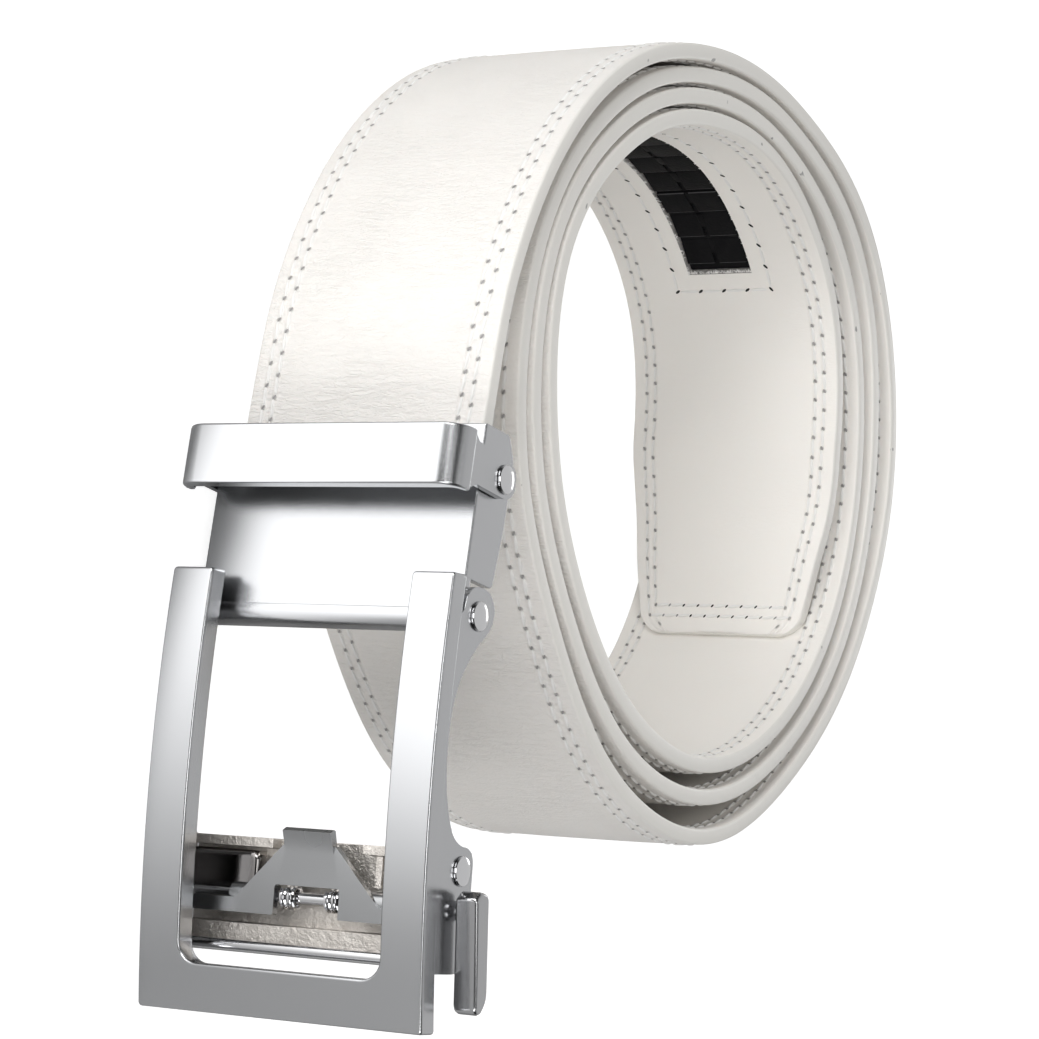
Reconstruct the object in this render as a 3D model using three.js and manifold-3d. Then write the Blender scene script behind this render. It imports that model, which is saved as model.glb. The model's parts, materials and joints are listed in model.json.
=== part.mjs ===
// A ratchet belt lying on its side as a loose coil: leather strap with a toothed track in its tail,
// hinged clamp plate with a swinging keeper, and an open rectangular buckle with a sprung pawl.
// Millimetres, +Z up. The coil's axis is vertical, so every hinge axis runs along Z.
import * as THREE from 'three';
import { mergeVertices } from 'three/addons/utils/BufferGeometryUtils.js';
import Module from 'manifold-3d';

const wasm = await Module();
wasm.setup();

// driving sizes

// strap
const STRAP_WIDTH = 35;
const STRAP_THICKNESS = 2.6;
const COIL_RADIUS = 60;
const TAIL_LENGTH = 28.4;
const TAIL_TIP_WIDTH = 26.6;
const TAIL_TAPER_LENGTH = 32;
const TAIL_CORNER = 3.6;
const TRACK_START = 58;
const TRACK_LENGTH = 140;
const TRACK_WIDTH = 10.8;
const TRACK_RECESS = 1.2;
const TRACK_PITCH = 5.3;

// fits
const GAP = 0.3;
const STRAP_SIDE_CLEARANCE = 0.4;
const RUNNING_CLEARANCE = 0.1;

// buckle
const SHEET = 1.2;
const EAR_THICKNESS = 1;
const HEAD_THICKNESS = 0.6;
const HEAD_RADIUS = 1.8;
const PIN_RADIUS = 1.1;
const PLATE_THICKNESS = 1.4;
const PLATE_HEIGHT = 23.4;
const FLANGE_DEPTH = 7;
const CLAMP_TILT = -14;
const FRAME_TILT = -7;
const FRAME_LENGTH = 54;
const FRAME_THICKNESS = 3;
const FRAME_CROWN = 1.7;
const SIDE_BAR_WIDTH = 6;
const FOOT_BAR_WIDTH = 5.8;
const KEEPER_HEIGHT = 7.6;
const KEEPER_THICKNESS = 2.4;
const KEEPER_GAP = 5.2;
const PAWL_PIN_RADIUS = 0.8;
const LEVER_WIDTH = 3.2;

// derived sizes
const halfStrap = STRAP_WIDTH / 2;
const plateHalf = halfStrap + STRAP_SIDE_CLEARANCE + SHEET;
const earInner = plateHalf + GAP;
const earOuter = earInner + EAR_THICKNESS;
const headOuter = earOuter + HEAD_THICKNESS;
const edgeRise = headOuter - halfStrap;
const clampReach = edgeRise * 1.73;
const hingeX = -COIL_RADIUS * 1.158 - clampReach;
const hingeY = -COIL_RADIUS * 0.373;
const boreRadius = PIN_RADIUS + RUNNING_CLEARANCE;
const knuckleRadius = PIN_RADIUS + 0.9;

// materials

const finishes = {
  leather: { color: 0xf3efe9, roughness: 0.55, metalness: 0 },
  track: { color: 0x151517, roughness: 0.5, metalness: 0 },
  satin: { color: 0xb9bcc0, roughness: 0.35, metalness: 1 },
  polished: { color: 0xd2d4d6, roughness: 0.16, metalness: 1 },
  cast: { color: 0xb3aea8, roughness: 0.6, metalness: 1 },
};

const assembly = new THREE.Group();

const addPiece = (name, geometry, finish) => {
  const bare = geometry.clone();
  bare.deleteAttribute('normal');
  bare.deleteAttribute('uv');
  const welded = mergeVertices(bare, 1e-4);
  welded.computeVertexNormals();
  const mesh = new THREE.Mesh(welded, new THREE.MeshStandardMaterial(finishes[finish]));
  mesh.name = name;
  assembly.add(mesh);
  return mesh;
};

// solid helpers

const toSolid = (geometry) => {
  const bare = geometry.clone();
  bare.deleteAttribute('normal');
  bare.deleteAttribute('uv');
  const welded = mergeVertices(bare, 1e-4);
  return new wasm.Manifold(new wasm.Mesh({
    numProp: 3,
    vertProperties: new Float32Array(welded.attributes.position.array),
    triVerts: new Uint32Array(welded.index.array),
  }));
};

const toGeometry = (solid) => {
  const mesh = solid.getMesh();
  const geometry = new THREE.BufferGeometry();
  const stride = mesh.numProp;
  const count = mesh.vertProperties.length / stride;
  const positions = new Float32Array(count * 3);
  for (let i = 0; i < count; i += 1) {
    positions[i * 3] = mesh.vertProperties[i * stride];
    positions[i * 3 + 1] = mesh.vertProperties[i * stride + 1];
    positions[i * 3 + 2] = mesh.vertProperties[i * stride + 2];
  }
  geometry.setAttribute('position', new THREE.BufferAttribute(positions, 3));
  geometry.setIndex(new THREE.BufferAttribute(new Uint32Array(mesh.triVerts), 1));
  return geometry;
};

const join = (first, ...others) => others.reduce((sum, next) => sum.add(toSolid(next)), toSolid(first));
const cut = (solid, ...tools) => tools.reduce((rest, tool) => rest.subtract(toSolid(tool)), solid);

// a closed outline with each corner rounded by its own radius
const roundedShape = (corners) => {
  const shape = new THREE.Shape();
  const count = corners.length;
  corners.forEach(([x, y, radius = 0], i) => {
    const here = new THREE.Vector2(x, y);
    const before = new THREE.Vector2(...corners[(i + count - 1) % count].slice(0, 2));
    const after = new THREE.Vector2(...corners[(i + 1) % count].slice(0, 2));
    const reach = Math.min(radius, here.distanceTo(before) * 0.49, here.distanceTo(after) * 0.49);
    if (reach < 0.01) {
      if (i === 0) shape.moveTo(x, y);
      else shape.lineTo(x, y);
      return;
    }
    const enter = here.clone().add(before.sub(here).setLength(reach));
    const leave = here.clone().add(after.sub(here).setLength(reach));
    if (i === 0) shape.moveTo(enter.x, enter.y);
    else shape.lineTo(enter.x, enter.y);
    shape.quadraticCurveTo(here.x, here.y, leave.x, leave.y);
  });
  shape.closePath();
  return shape;
};

// a side outline in XY, pushed out along Z between two levels
const slab = (corners, low, high, segments = 4) => {
  const geometry = new THREE.ExtrudeGeometry(roundedShape(corners), {
    depth: high - low,
    bevelEnabled: false,
    curveSegments: segments,
  });
  geometry.translate(0, 0, low);
  return geometry;
};

// an outline in the local (depth, across) plane, pushed up along local Y
const upright = (corners, low, high, segments = 5) => {
  const geometry = slab(corners, low, high, segments);
  geometry.rotateX(Math.PI / 2);
  geometry.scale(1, -1, 1);
  return flipped(geometry);
};

// an outline in the local (height, across) plane, pushed along local X
const facing = (corners, near, far, segments = 4) => {
  const geometry = slab(corners, near, far, segments);
  geometry.applyMatrix4(new THREE.Matrix4().makeBasis(
    new THREE.Vector3(0, 1, 0),
    new THREE.Vector3(0, 0, 1),
    new THREE.Vector3(1, 0, 0),
  ));
  return geometry;
};

const flipped = (geometry) => {
  const bare = geometry.index ? geometry.toNonIndexed() : geometry;
  const array = bare.attributes.position.array;
  for (let i = 0; i < array.length; i += 9) {
    for (let k = 0; k < 3; k += 1) {
      const keep = array[i + 3 + k];
      array[i + 3 + k] = array[i + 6 + k];
      array[i + 6 + k] = keep;
    }
  }
  return bare;
};

const box = (x0, x1, y0, y1, z0, z1) => {
  const geometry = new THREE.BoxGeometry(x1 - x0, y1 - y0, z1 - z0);
  geometry.translate((x0 + x1) / 2, (y0 + y1) / 2, (z0 + z1) / 2);
  return geometry;
};

const rod = (x, y, radius, low, high, sides = 24) => {
  const geometry = new THREE.CylinderGeometry(radius, radius, high - low, sides);
  geometry.rotateX(Math.PI / 2);
  geometry.translate(x, y, (low + high) / 2);
  return geometry;
};

// a turned part about a vertical line: profile rows are [radius, level]
const turned = (x, y, profile, sides = 24) => {
  const points = profile.map(([radius, level]) => new THREE.Vector2(radius, level));
  const geometry = new THREE.LatheGeometry(points, sides);
  geometry.rotateX(Math.PI / 2);
  geometry.translate(x, y, 0);
  return geometry;
};

// placing the buckle

const buckleLevel = halfStrap + edgeRise;

const placed = (geometry, tilt) => {
  const result = geometry.clone();
  result.rotateZ(THREE.MathUtils.degToRad(tilt));
  result.translate(hingeX, hingeY, buckleLevel);
  return result;
};

const spot = (x, y, tilt) => {
  const turnBy = THREE.MathUtils.degToRad(tilt);
  return new THREE.Vector2(
    hingeX + x * Math.cos(turnBy) - y * Math.sin(turnBy),
    hingeY + x * Math.sin(turnBy) + y * Math.cos(turnBy),
  );
};

// strap path

// outer turn: middle-surface radius as a share of COIL_RADIUS, one row each 30 degrees from the clamp
// looseness: free gap to the turn outside it, as a share of STRAP_THICKNESS
const outerTurn = [1.028, 0.973, 0.935, 0.912, 0.957, 1.065, 1.058, 0.978, 0.917, 0.92, 0.893, 0.86];
const looseness = [
  1.85, 0.19, 0.15, 0.15, 0.31, 0.92, 1.77, 0.92, 0.69, 1.12, 0.92, 0.54,
  0.5, 0.15, 0.15, 0.15, 0.5, 1.27, 1.15, 0.92, 0.58, 0.73, 0.81, 0.58,
  0.69, 0.19, 0.15, 0.15, 0.31, 1.6, 2.3, 2.3,
];
const TURN_ROWS = outerTurn.length;
const ROW_ANGLE = 360 / TURN_ROWS;
const COIL_END = 1260;

const rowRadius = outerTurn.map((share) => share * COIL_RADIUS);
looseness.forEach((slack, i) => rowRadius.push(rowRadius[i] - STRAP_THICKNESS * (1 + slack)));

const coilRadius = (angle) => {
  const row = Math.min(Math.floor(angle / ROW_ANGLE), rowRadius.length - 3);
  const t = angle / ROW_ANGLE - row;
  const before = rowRadius[Math.max(row - 1, 0)];
  const a = rowRadius[row];
  const b = rowRadius[row + 1];
  const after = rowRadius[row + 2];
  const slopeA = (b - before) / 2;
  const slopeB = (after - a) / 2;
  return a * (2 * t ** 3 - 3 * t ** 2 + 1) + slopeA * (t ** 3 - 2 * t ** 2 + t)
    + b * (3 * t ** 2 - 2 * t ** 3) + slopeB * (t ** 3 - t ** 2);
};

const EASE_ANGLE = 120;
const strapInClamp = -knuckleRadius + PLATE_THICKNESS + GAP + STRAP_THICKNESS / 2;
const STRAP_SEAT = 5.5;

// the outer turn rises and reaches out to the clamp, so the wider buckle and the coil share one floor
const clampEase = (angle) => 1 - THREE.MathUtils.smoothstep(angle, 0, EASE_ANGLE);

const tailRows = [
  { out: 0, down: 0.15 },
  { out: -0.018, down: 0.37 },
  { out: -0.077, down: 0.59 },
  { out: -0.12, down: 0.81 },
  { out: -0.158, down: 1 },
];

const pathPoints = [];
[STRAP_SEAT, 11, 17.5, PLATE_HEIGHT + 0.6].forEach((up) => {
  const at = spot(strapInClamp, up, CLAMP_TILT);
  pathPoints.push(new THREE.Vector3(at.x, at.y, edgeRise));
});
for (let angle = 15; angle <= COIL_END; angle += 7.5) {
  const ease = clampEase(angle);
  const radius = coilRadius(angle);
  const around = THREE.MathUtils.degToRad(180 - angle);
  pathPoints.push(new THREE.Vector3(
    radius * Math.cos(around) - clampReach * ease,
    radius * Math.sin(around),
    edgeRise * ease,
  ));
}
const tailRoot = pathPoints[pathPoints.length - 1].clone();
tailRows.forEach(({ out, down }) => pathPoints.push(new THREE.Vector3(
  tailRoot.x + TAIL_LENGTH * out,
  tailRoot.y - TAIL_LENGTH * down,
  0,
)));

const strapPath = new THREE.CatmullRomCurve3(pathPoints, false, 'centripetal');
strapPath.arcLengthDivisions = 4000;
const strapLength = strapPath.getLength();

const stationAt = (distance) => {
  const share = THREE.MathUtils.clamp(distance / strapLength, 0, 1);
  const point = strapPath.getPointAt(share);
  const along = strapPath.getTangentAt(share);
  const outward = new THREE.Vector2(-along.y, along.x).normalize();
  return { point, outward };
};

// half of the strap's width at a distance from its tip
const halfWidthAt = (fromTip) => {
  const taper = THREE.MathUtils.smoothstep(fromTip, -TAIL_TAPER_LENGTH * 0.6, TAIL_TAPER_LENGTH);
  const tipHalf = TAIL_TIP_WIDTH / 2;
  const base = THREE.MathUtils.smoothstep(0, -TAIL_TAPER_LENGTH * 0.6, TAIL_TAPER_LENGTH);
  const half = tipHalf + (halfStrap - tipHalf) * (taper - base) / (1 - base);
  if (fromTip >= TAIL_CORNER) return half;
  const rest = TAIL_CORNER - fromTip;
  return half - TAIL_CORNER + Math.sqrt(Math.max(TAIL_CORNER ** 2 - rest ** 2, 0.01));
};

// closed ring of [across, off the middle surface]; recessed rings hold the track's channel
const strapSection = (half, swell, recessed) => {
  const h = STRAP_THICKNESS / 2;
  const rim = TRACK_WIDTH / 2;
  const floorHalf = recessed ? rim - 0.1 : rim - 0.5;
  const floorAt = recessed ? -h + TRACK_RECESS : -h;
  const edge = h * 0.85;
  const side = half - edge;
  return [
    [-side, -h * 0.88 * swell],
    [-rim, -h * swell],
    [-floorHalf, floorAt * swell],
    [floorHalf, floorAt * swell],
    [rim, -h * swell],
    [side, -h * 0.88 * swell],
    [half - edge * 0.28, -h * 0.55 * swell],
    [half, 0],
    [half - edge * 0.28, h * 0.55 * swell],
    [side, h * 0.85 * swell],
    [side * 0.55, h * 0.97 * swell],
    [0, h * swell],
    [-side * 0.55, h * 0.97 * swell],
    [-side, h * 0.85 * swell],
    [-half + edge * 0.28, h * 0.55 * swell],
    [-half, 0],
    [-half + edge * 0.28, -h * 0.55 * swell],
  ];
};

// skin between equal rings of 3-D points, closed at both ends
const loft = (rings) => {
  const count = rings[0].length;
  const positions = [];
  rings.forEach((ring) => ring.forEach((p) => positions.push(p.x, p.y, p.z)));
  const faces = [];
  for (let r = 0; r < rings.length - 1; r += 1) {
    for (let i = 0; i < count; i += 1) {
      const a = r * count + i;
      const b = r * count + (i + 1) % count;
      faces.push(a, b, b + count, a, b + count, a + count);
    }
  }
  const last = (rings.length - 1) * count;
  for (let i = 1; i < count - 1; i += 1) {
    faces.push(0, i + 1, i);
    faces.push(last, last + i, last + i + 1);
  }
  const geometry = new THREE.BufferGeometry();
  geometry.setAttribute('position', new THREE.BufferAttribute(new Float32Array(positions), 3));
  geometry.setIndex(faces);
  return geometry;
};

const strapRing = (distance, recessed) => {
  const { point, outward } = stationAt(distance);
  const fromTip = strapLength - distance;
  const swell = fromTip < 0.9 ? 0.62 : 1;
  return strapSection(halfWidthAt(fromTip), swell, recessed).map(([across, off]) => new THREE.Vector3(
    point.x + outward.x * off,
    point.y + outward.y * off,
    point.z + halfStrap + across,
  ));
};

const trackFrom = strapLength - TRACK_START - TRACK_LENGTH;
const trackTo = strapLength - TRACK_START;
const STATION_STEP = 5.2;

const stations = [];
const fill = (from, to, recessed) => {
  const steps = Math.max(1, Math.round((to - from) / STATION_STEP));
  for (let i = 0; i <= steps; i += 1) {
    stations.push({ distance: from + (to - from) * i / steps, recessed });
  }
};
const WALL_LEAN = 0.3;
fill(0, trackFrom, false);
fill(trackFrom + WALL_LEAN, trackTo - WALL_LEAN, true);
fill(trackTo, strapLength - TAIL_CORNER, false);
[0.72, 0.45, 0.22, 0.06, 0].forEach((share) => {
  stations.push({ distance: strapLength - TAIL_CORNER * share, recessed: false });
});

const strapRings = stations.map(({ distance, recessed }) => strapRing(distance, recessed).reverse());
const strapGeometry = loft(strapRings);
addPiece('strap', strapGeometry, 'leather');

// toothed track in the channel: each tooth ramps up and drops square
const trackLow = -STRAP_THICKNESS / 2 + TRACK_RECESS - 0.2;
const toothRoot = -STRAP_THICKNESS / 2 + 0.55;
const toothTip = -STRAP_THICKNESS / 2 + 0.12;
const trackHalf = TRACK_WIDTH / 2 - 0.1 - GAP;
const trackRings = [];
const pushTrackRing = (distance, top) => {
  const { point, outward } = stationAt(distance);
  trackRings.push([[-trackHalf, trackLow], [-trackHalf, top], [trackHalf, top], [trackHalf, trackLow]]
    .map(([across, off]) => new THREE.Vector3(
      point.x + outward.x * off,
      point.y + outward.y * off,
      point.z + halfStrap + across,
    )));
};
const teeth = Math.floor((TRACK_LENGTH - 2 * WALL_LEAN - 2 * GAP) / TRACK_PITCH);
const toothStart = trackFrom + WALL_LEAN + GAP;
for (let i = 0; i < teeth; i += 1) {
  const from = toothStart + i * TRACK_PITCH;
  pushTrackRing(from, toothRoot);
  pushTrackRing(from + TRACK_PITCH * 0.3, toothRoot - 0.1);
  pushTrackRing(from + TRACK_PITCH * 0.88, toothTip);
  pushTrackRing(from + TRACK_PITCH * 0.94, toothTip);
}
pushTrackRing(toothStart + teeth * TRACK_PITCH, toothRoot);
addPiece('ratchet_track', loft(trackRings.map((ring) => ring.slice().reverse())), 'track');

// clamp plate and keeper

const flangeOutline = [
  [-knuckleRadius, 4.3, 0],
  [FLANGE_DEPTH - knuckleRadius - 0.6, 4.3, 0.6],
  [FLANGE_DEPTH - knuckleRadius + 0.3, 12, 0],
  [FLANGE_DEPTH - knuckleRadius + 0.5, PLATE_HEIGHT - 3, 0.4],
  [FLANGE_DEPTH - knuckleRadius - 1.2, PLATE_HEIGHT, 0.4],
  [-knuckleRadius, PLATE_HEIGHT, 0],
];
const keeperPivot = [1.75, 17.3];
const keeperFront = -knuckleRadius - KEEPER_GAP - KEEPER_THICKNESS;

let plateSolid = join(
  box(-knuckleRadius, -knuckleRadius + PLATE_THICKNESS, 0, PLATE_HEIGHT, -plateHalf, plateHalf),
  rod(0, 0, knuckleRadius, -plateHalf, plateHalf, 32),
  slab(flangeOutline, plateHalf - SHEET, plateHalf),
  slab(flangeOutline, -plateHalf, -plateHalf + SHEET),
);
plateSolid = cut(
  plateSolid,
  rod(0, 0, boreRadius, -plateHalf - 1, plateHalf + 1),
  rod(...keeperPivot, boreRadius, -plateHalf - 1, plateHalf + 1),
);
addPiece('clamp_plate', placed(toGeometry(plateSolid), CLAMP_TILT), 'satin');

const jawFace = strapInClamp + STRAP_THICKNESS / 2 + GAP;
const jawBack = FLANGE_DEPTH - knuckleRadius - 0.4;
const jawOutline = [
  [jawFace + 0.5, 6.6], [jawBack, 6.6], [jawBack, 14.2], [jawFace + 0.5, 14.2],
  [jawFace, 13.3], [jawFace + 0.5, 12.4], [jawFace, 11.3], [jawFace + 0.5, 10.4],
  [jawFace, 9.3], [jawFace + 0.5, 8.4], [jawFace, 7.4],
];
const jawHalf = plateHalf - SHEET - GAP;
addPiece('clamp_jaw', placed(slab(jawOutline, -jawHalf, jawHalf), CLAMP_TILT), 'satin');

const keeperMiddle = keeperPivot[1] + 0.4;
const keeperLow = keeperMiddle - KEEPER_HEIGHT / 2;
const keeperHigh = keeperMiddle + KEEPER_HEIGHT / 2;
const keeperBack = keeperFront + 3.9;
const keeperInside = keeperFront + KEEPER_THICKNESS;
const keeperBand = [
  [keeperBack, -earOuter, 0], [keeperBack, -earInner, 0], [keeperInside, -earInner, 1.2],
  [keeperInside, earInner, 1.2], [keeperBack, earInner, 0], [keeperBack, earOuter, 0],
  [keeperFront, earOuter, 3.2], [keeperFront, -earOuter, 3.2],
];
const armOutline = [
  [keeperBack - 0.6, keeperLow, 0],
  [keeperBack + 1.2, keeperPivot[1] - 2.2, 0.4],
  [keeperPivot[0] + 0.4, keeperPivot[1] - 2.3, 0.6],
  [keeperPivot[0] + 2.7, keeperPivot[1] - 1.8, 1.6],
  [keeperPivot[0] + 2.7, keeperPivot[1] + 1.8, 1.6],
  [keeperPivot[0] + 0.4, keeperPivot[1] + 2.4, 0.6],
  [keeperBack + 0.6, keeperPivot[1] + 2.9, 0.2],
  [keeperBack - 0.2, keeperHigh, 0],
  [keeperBack - 0.6, keeperHigh, 0],
];
let keeperSolid = join(
  upright(keeperBand, keeperLow, keeperHigh, 9),
  slab(armOutline, earInner, earOuter),
  slab(armOutline, -earOuter, -earInner),
);
keeperSolid = cut(keeperSolid, rod(...keeperPivot, boreRadius, -headOuter - 1, headOuter + 1));
addPiece('keeper', placed(toGeometry(keeperSolid), CLAMP_TILT), 'satin');

// rivet with a low domed head; side is +1 for the upper end and -1 for the lower end
const rivet = (x, y, shank, inner, side) => {
  const profile = [
    [0, inner],
    [shank, inner],
    [shank, earOuter + 0.06],
    [HEAD_RADIUS, earOuter + 0.06],
    [HEAD_RADIUS, headOuter - 0.2],
    [HEAD_RADIUS * 0.86, headOuter],
    [0, headOuter],
  ];
  const geometry = turned(x, y, profile);
  if (side > 0) return geometry;
  geometry.scale(1, 1, -1);
  return flipped(geometry);
};
const keeperShankInner = plateHalf - SHEET + 0.1;
[['keeper_rivet_upper', 1], ['keeper_rivet_lower', -1]].forEach(([name, side]) => {
  const geometry = rivet(...keeperPivot, PIN_RADIUS, keeperShankInner, side);
  addPiece(name, placed(geometry, CLAMP_TILT), 'polished');
});

const hingeProfile = [
  [0, -headOuter],
  [HEAD_RADIUS * 0.86, -headOuter],
  [HEAD_RADIUS, -headOuter + 0.2],
  [HEAD_RADIUS, -earOuter - 0.06],
  [PIN_RADIUS, -earOuter - 0.06],
  [PIN_RADIUS, earOuter + 0.06],
  [HEAD_RADIUS, earOuter + 0.06],
  [HEAD_RADIUS, headOuter - 0.2],
  [HEAD_RADIUS * 0.86, headOuter],
  [0, headOuter],
];
addPiece('hinge_pin', placed(turned(0, 0, hingeProfile), FRAME_TILT), 'polished');

// buckle frame

const frameTop = 4.7;
const frameFoot = frameTop - FRAME_LENGTH;
const frameMiddle = (frameTop + frameFoot) / 2;
const frontChord = -6.1;

// front face of the frame: a shallow arc along its length
const frontAt = (y) => {
  const share = (y - frameMiddle) / (FRAME_LENGTH / 2);
  return frontChord - FRAME_CROWN * (1 - share ** 2);
};
const ARC_STEPS = 14;
const arcOutline = [];
for (let i = 0; i <= ARC_STEPS; i += 1) {
  const y = frameTop + (frameFoot - frameTop) * i / ARC_STEPS;
  arcOutline.push([frontAt(y), y]);
}
for (let i = ARC_STEPS; i >= 0; i -= 1) {
  const y = frameTop + (frameFoot - frameTop) * i / ARC_STEPS;
  arcOutline.push([frontAt(y) + FRAME_THICKNESS, y]);
}

const windowHalf = earOuter - SIDE_BAR_WIDTH;
const windowFoot = frameFoot + FOOT_BAR_WIDTH;
const windowOutline = [
  [windowFoot, -windowHalf, 2.6],
  [frameTop + 2, -windowHalf, 0],
  [frameTop + 2, windowHalf, 0],
  [windowFoot, windowHalf, 2.6],
];

// side cheek: ear at the hinge, waist as deep as the bar, and a wide lobe that carries the pawl
const lobeBack = 2.9;
const cheekOutline = [
  [frontAt(-1) + 0.8, -1, 0],
  [-3.3, 0.4, 0.6],
  [-2.6, 2.9, 1.2],
  [0.4, 3.9, 2],
  [3.7, 2.4, 2],
  [3.8, -0.9, 1.6],
  [0.9, -3.1, 1.2],
  [-2.1, -6.2, 2],
  [-4.1, -10, 2],
  [frontAt(-16) + FRAME_THICKNESS - 0.05, -14.5, 2],
  [frontAt(-20) + FRAME_THICKNESS + 0.15, -19.5, 2],
  [-3.6, -23.6, 2],
  [-2.1, -26.3, 1.4],
  [0, -27.3, 0.8],
  [lobeBack - 1, -27.4, 0.8],
  [lobeBack, -28.6, 0.8],
  [lobeBack, -40.4, 1.6],
  [0.9, -42.3, 1.4],
  [frontAt(-42.3) + 0.8, -42.3, 0],
];

const housingRivet = [0.2, -30.2];
const pawlPivot = [0.3, -34.9];
const footRod = [-1.3, -41.2];

let frameSolid = cut(
  toSolid(slab(arcOutline, -earOuter, earOuter)),
  facing(windowOutline, frontChord - 8, frontChord + 12, 6),
);
frameSolid = frameSolid
  .add(toSolid(slab(cheekOutline, earInner, earOuter)))
  .add(toSolid(slab(cheekOutline, -earOuter, -earInner)));
frameSolid = cut(
  frameSolid,
  rod(0, 0, boreRadius, -headOuter, headOuter),
  rod(...housingRivet, boreRadius, -headOuter, headOuter),
  rod(...pawlPivot, PAWL_PIN_RADIUS + RUNNING_CLEARANCE, -headOuter, headOuter),
);
addPiece('buckle_frame', placed(toGeometry(frameSolid), FRAME_TILT), 'satin');

// pawl housing

const housingHalf = earInner - GAP;
const wallFace = 2.1;
const wallLap = wallFace + 0.3;
const housingTop = -27.9;
const housingFoot = -41.6;
const lipThickness = 1.2;
const lipInner = 6.5;
const troughTop = -33;
const troughFoot = -36.9;
const blockInner = 8.6;
const blockTop = housingTop - 1.7;
const blockFoot = troughTop - 1.2;
const ribThickness = 1;
const footBarTop = housingFoot + 3.2;
const blockOutline = [
  [0.2, blockFoot, 0.6], [wallLap, blockFoot, 0], [wallLap, blockTop, 0], [0.2, blockTop, 1],
];
let housingSolid = join(
  box(wallFace, lobeBack, housingFoot, housingTop, -housingHalf, housingHalf),
  box(0, wallLap, housingTop - lipThickness, housingTop, -housingHalf, -lipInner),
  box(0, wallLap, housingTop - lipThickness, housingTop, lipInner, housingHalf),
  slab(blockOutline, -housingHalf + 1, -blockInner),
  box(0.2, wallLap, troughTop, housingTop - 0.6, housingHalf - 1.4, housingHalf),
  box(0.2, wallLap, troughTop, housingTop - 0.6, blockInner - 0.2, blockInner - 0.2 + ribThickness),
  box(-0.1, wallLap, housingFoot, footBarTop, -housingHalf, housingHalf),
);
housingSolid = cut(
  housingSolid,
  box(-1, wallFace, troughFoot, troughTop, -housingHalf - 1, housingHalf + 1),
);
addPiece('pawl_housing', placed(toGeometry(housingSolid), FRAME_TILT), 'cast');

[['housing_rivet_upper', 1], ['housing_rivet_lower', -1]].forEach(([name, side]) => {
  const geometry = rivet(...housingRivet, PIN_RADIUS, earInner - GAP + 0.1, side);
  addPiece(name, placed(geometry, FRAME_TILT), 'polished');
});
addPiece('foot_rod', placed(rod(...footRod, 0.75, -housingHalf, housingHalf), FRAME_TILT), 'polished');

// pawl, springs and release lever

const pawlFace = -1.6;
const pawlBack = -0.6;
const pawlShoulder = -28.4;
const pawlRail = -35.3;
const pawlLow = -37.1;
const pawlHalf = halfStrap - 0.1;
const notchHalf = 4.7;
const notchTop = -33.4;
const tabHalf = 3.5;
const pawlOutline = [
  [pawlLow, -pawlHalf, 0.3], [pawlRail, -pawlHalf, 0.3], [pawlRail, -10.4, 0.3],
  [pawlShoulder, -3.7, 0.3], [pawlShoulder, 3.7, 0.3], [pawlRail, 10.4, 0.3],
  [pawlRail, pawlHalf, 0.3], [pawlLow, pawlHalf, 0.3], [pawlLow, notchHalf, 0.2],
  [notchTop, notchHalf, 0.4], [notchTop, -notchHalf, 0.4], [pawlLow, -notchHalf, 0.2],
].reverse();
const tabOutline = [
  [pawlFace, pawlShoulder - 0.9], [pawlBack, pawlShoulder - 0.9], [pawlBack - 0.9, pawlShoulder + 1.9],
  [pawlBack - 1.2, pawlShoulder + 2], [pawlFace - 1, pawlShoulder + 1.6],
].map(([x, y]) => [x, y, 0]);
const barrelFrom = notchHalf + 0.9;
const barrelTo = barrelFrom + 6;
let pawlSolid = join(
  facing(pawlOutline, pawlFace, pawlBack),
  slab(tabOutline, -tabHalf, tabHalf),
  rod(...pawlPivot, PAWL_PIN_RADIUS + 0.7, barrelFrom, barrelTo),
  rod(...pawlPivot, PAWL_PIN_RADIUS + 0.7, -barrelTo, -barrelFrom),
);
pawlSolid = cut(
  pawlSolid,
  rod(...pawlPivot, PAWL_PIN_RADIUS + RUNNING_CLEARANCE, -pawlHalf - 1, pawlHalf + 1),
);
addPiece('pawl', placed(toGeometry(pawlSolid), FRAME_TILT), 'satin');
const pawlPinTop = earOuter + 0.15;
const pinRod = rod(...pawlPivot, PAWL_PIN_RADIUS, -earOuter, pawlPinTop);
addPiece('pawl_pin', placed(pinRod, FRAME_TILT), 'polished');

// torsion spring: three close turns round the pin with two short legs
class SpringLine extends THREE.Curve {
  constructor(from, pitch) {
    super();
    this.from = from;
    this.pitch = pitch;
  }

  getPoint(share, target = new THREE.Vector3()) {
    const turns = 3.25;
    const around = share * turns * Math.PI * 2 + Math.PI * 0.75;
    return target.set(
      pawlPivot[0] + SPRING_RADIUS * Math.cos(around),
      pawlPivot[1] + SPRING_RADIUS * Math.sin(around),
      this.from + this.pitch * share * turns,
    );
  }
}
const SPRING_RADIUS = 1.3;
const SPRING_WIRE = 0.24;
const wireShape = new THREE.Shape();
for (let i = 0; i < 6; i += 1) {
  const around = i * Math.PI / 3;
  if (i === 0) wireShape.moveTo(SPRING_WIRE, 0);
  else wireShape.lineTo(SPRING_WIRE * Math.cos(around), SPRING_WIRE * Math.sin(around));
}
wireShape.closePath();
[['spring_upper', 2.3], ['spring_lower', -4.15]].forEach(([name, from]) => {
  const geometry = new THREE.ExtrudeGeometry(wireShape, {
    steps: 48,
    bevelEnabled: false,
    extrudePath: new SpringLine(from, 0.57),
  });
  addPiece(name, placed(geometry, FRAME_TILT), 'polished');
});

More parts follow.
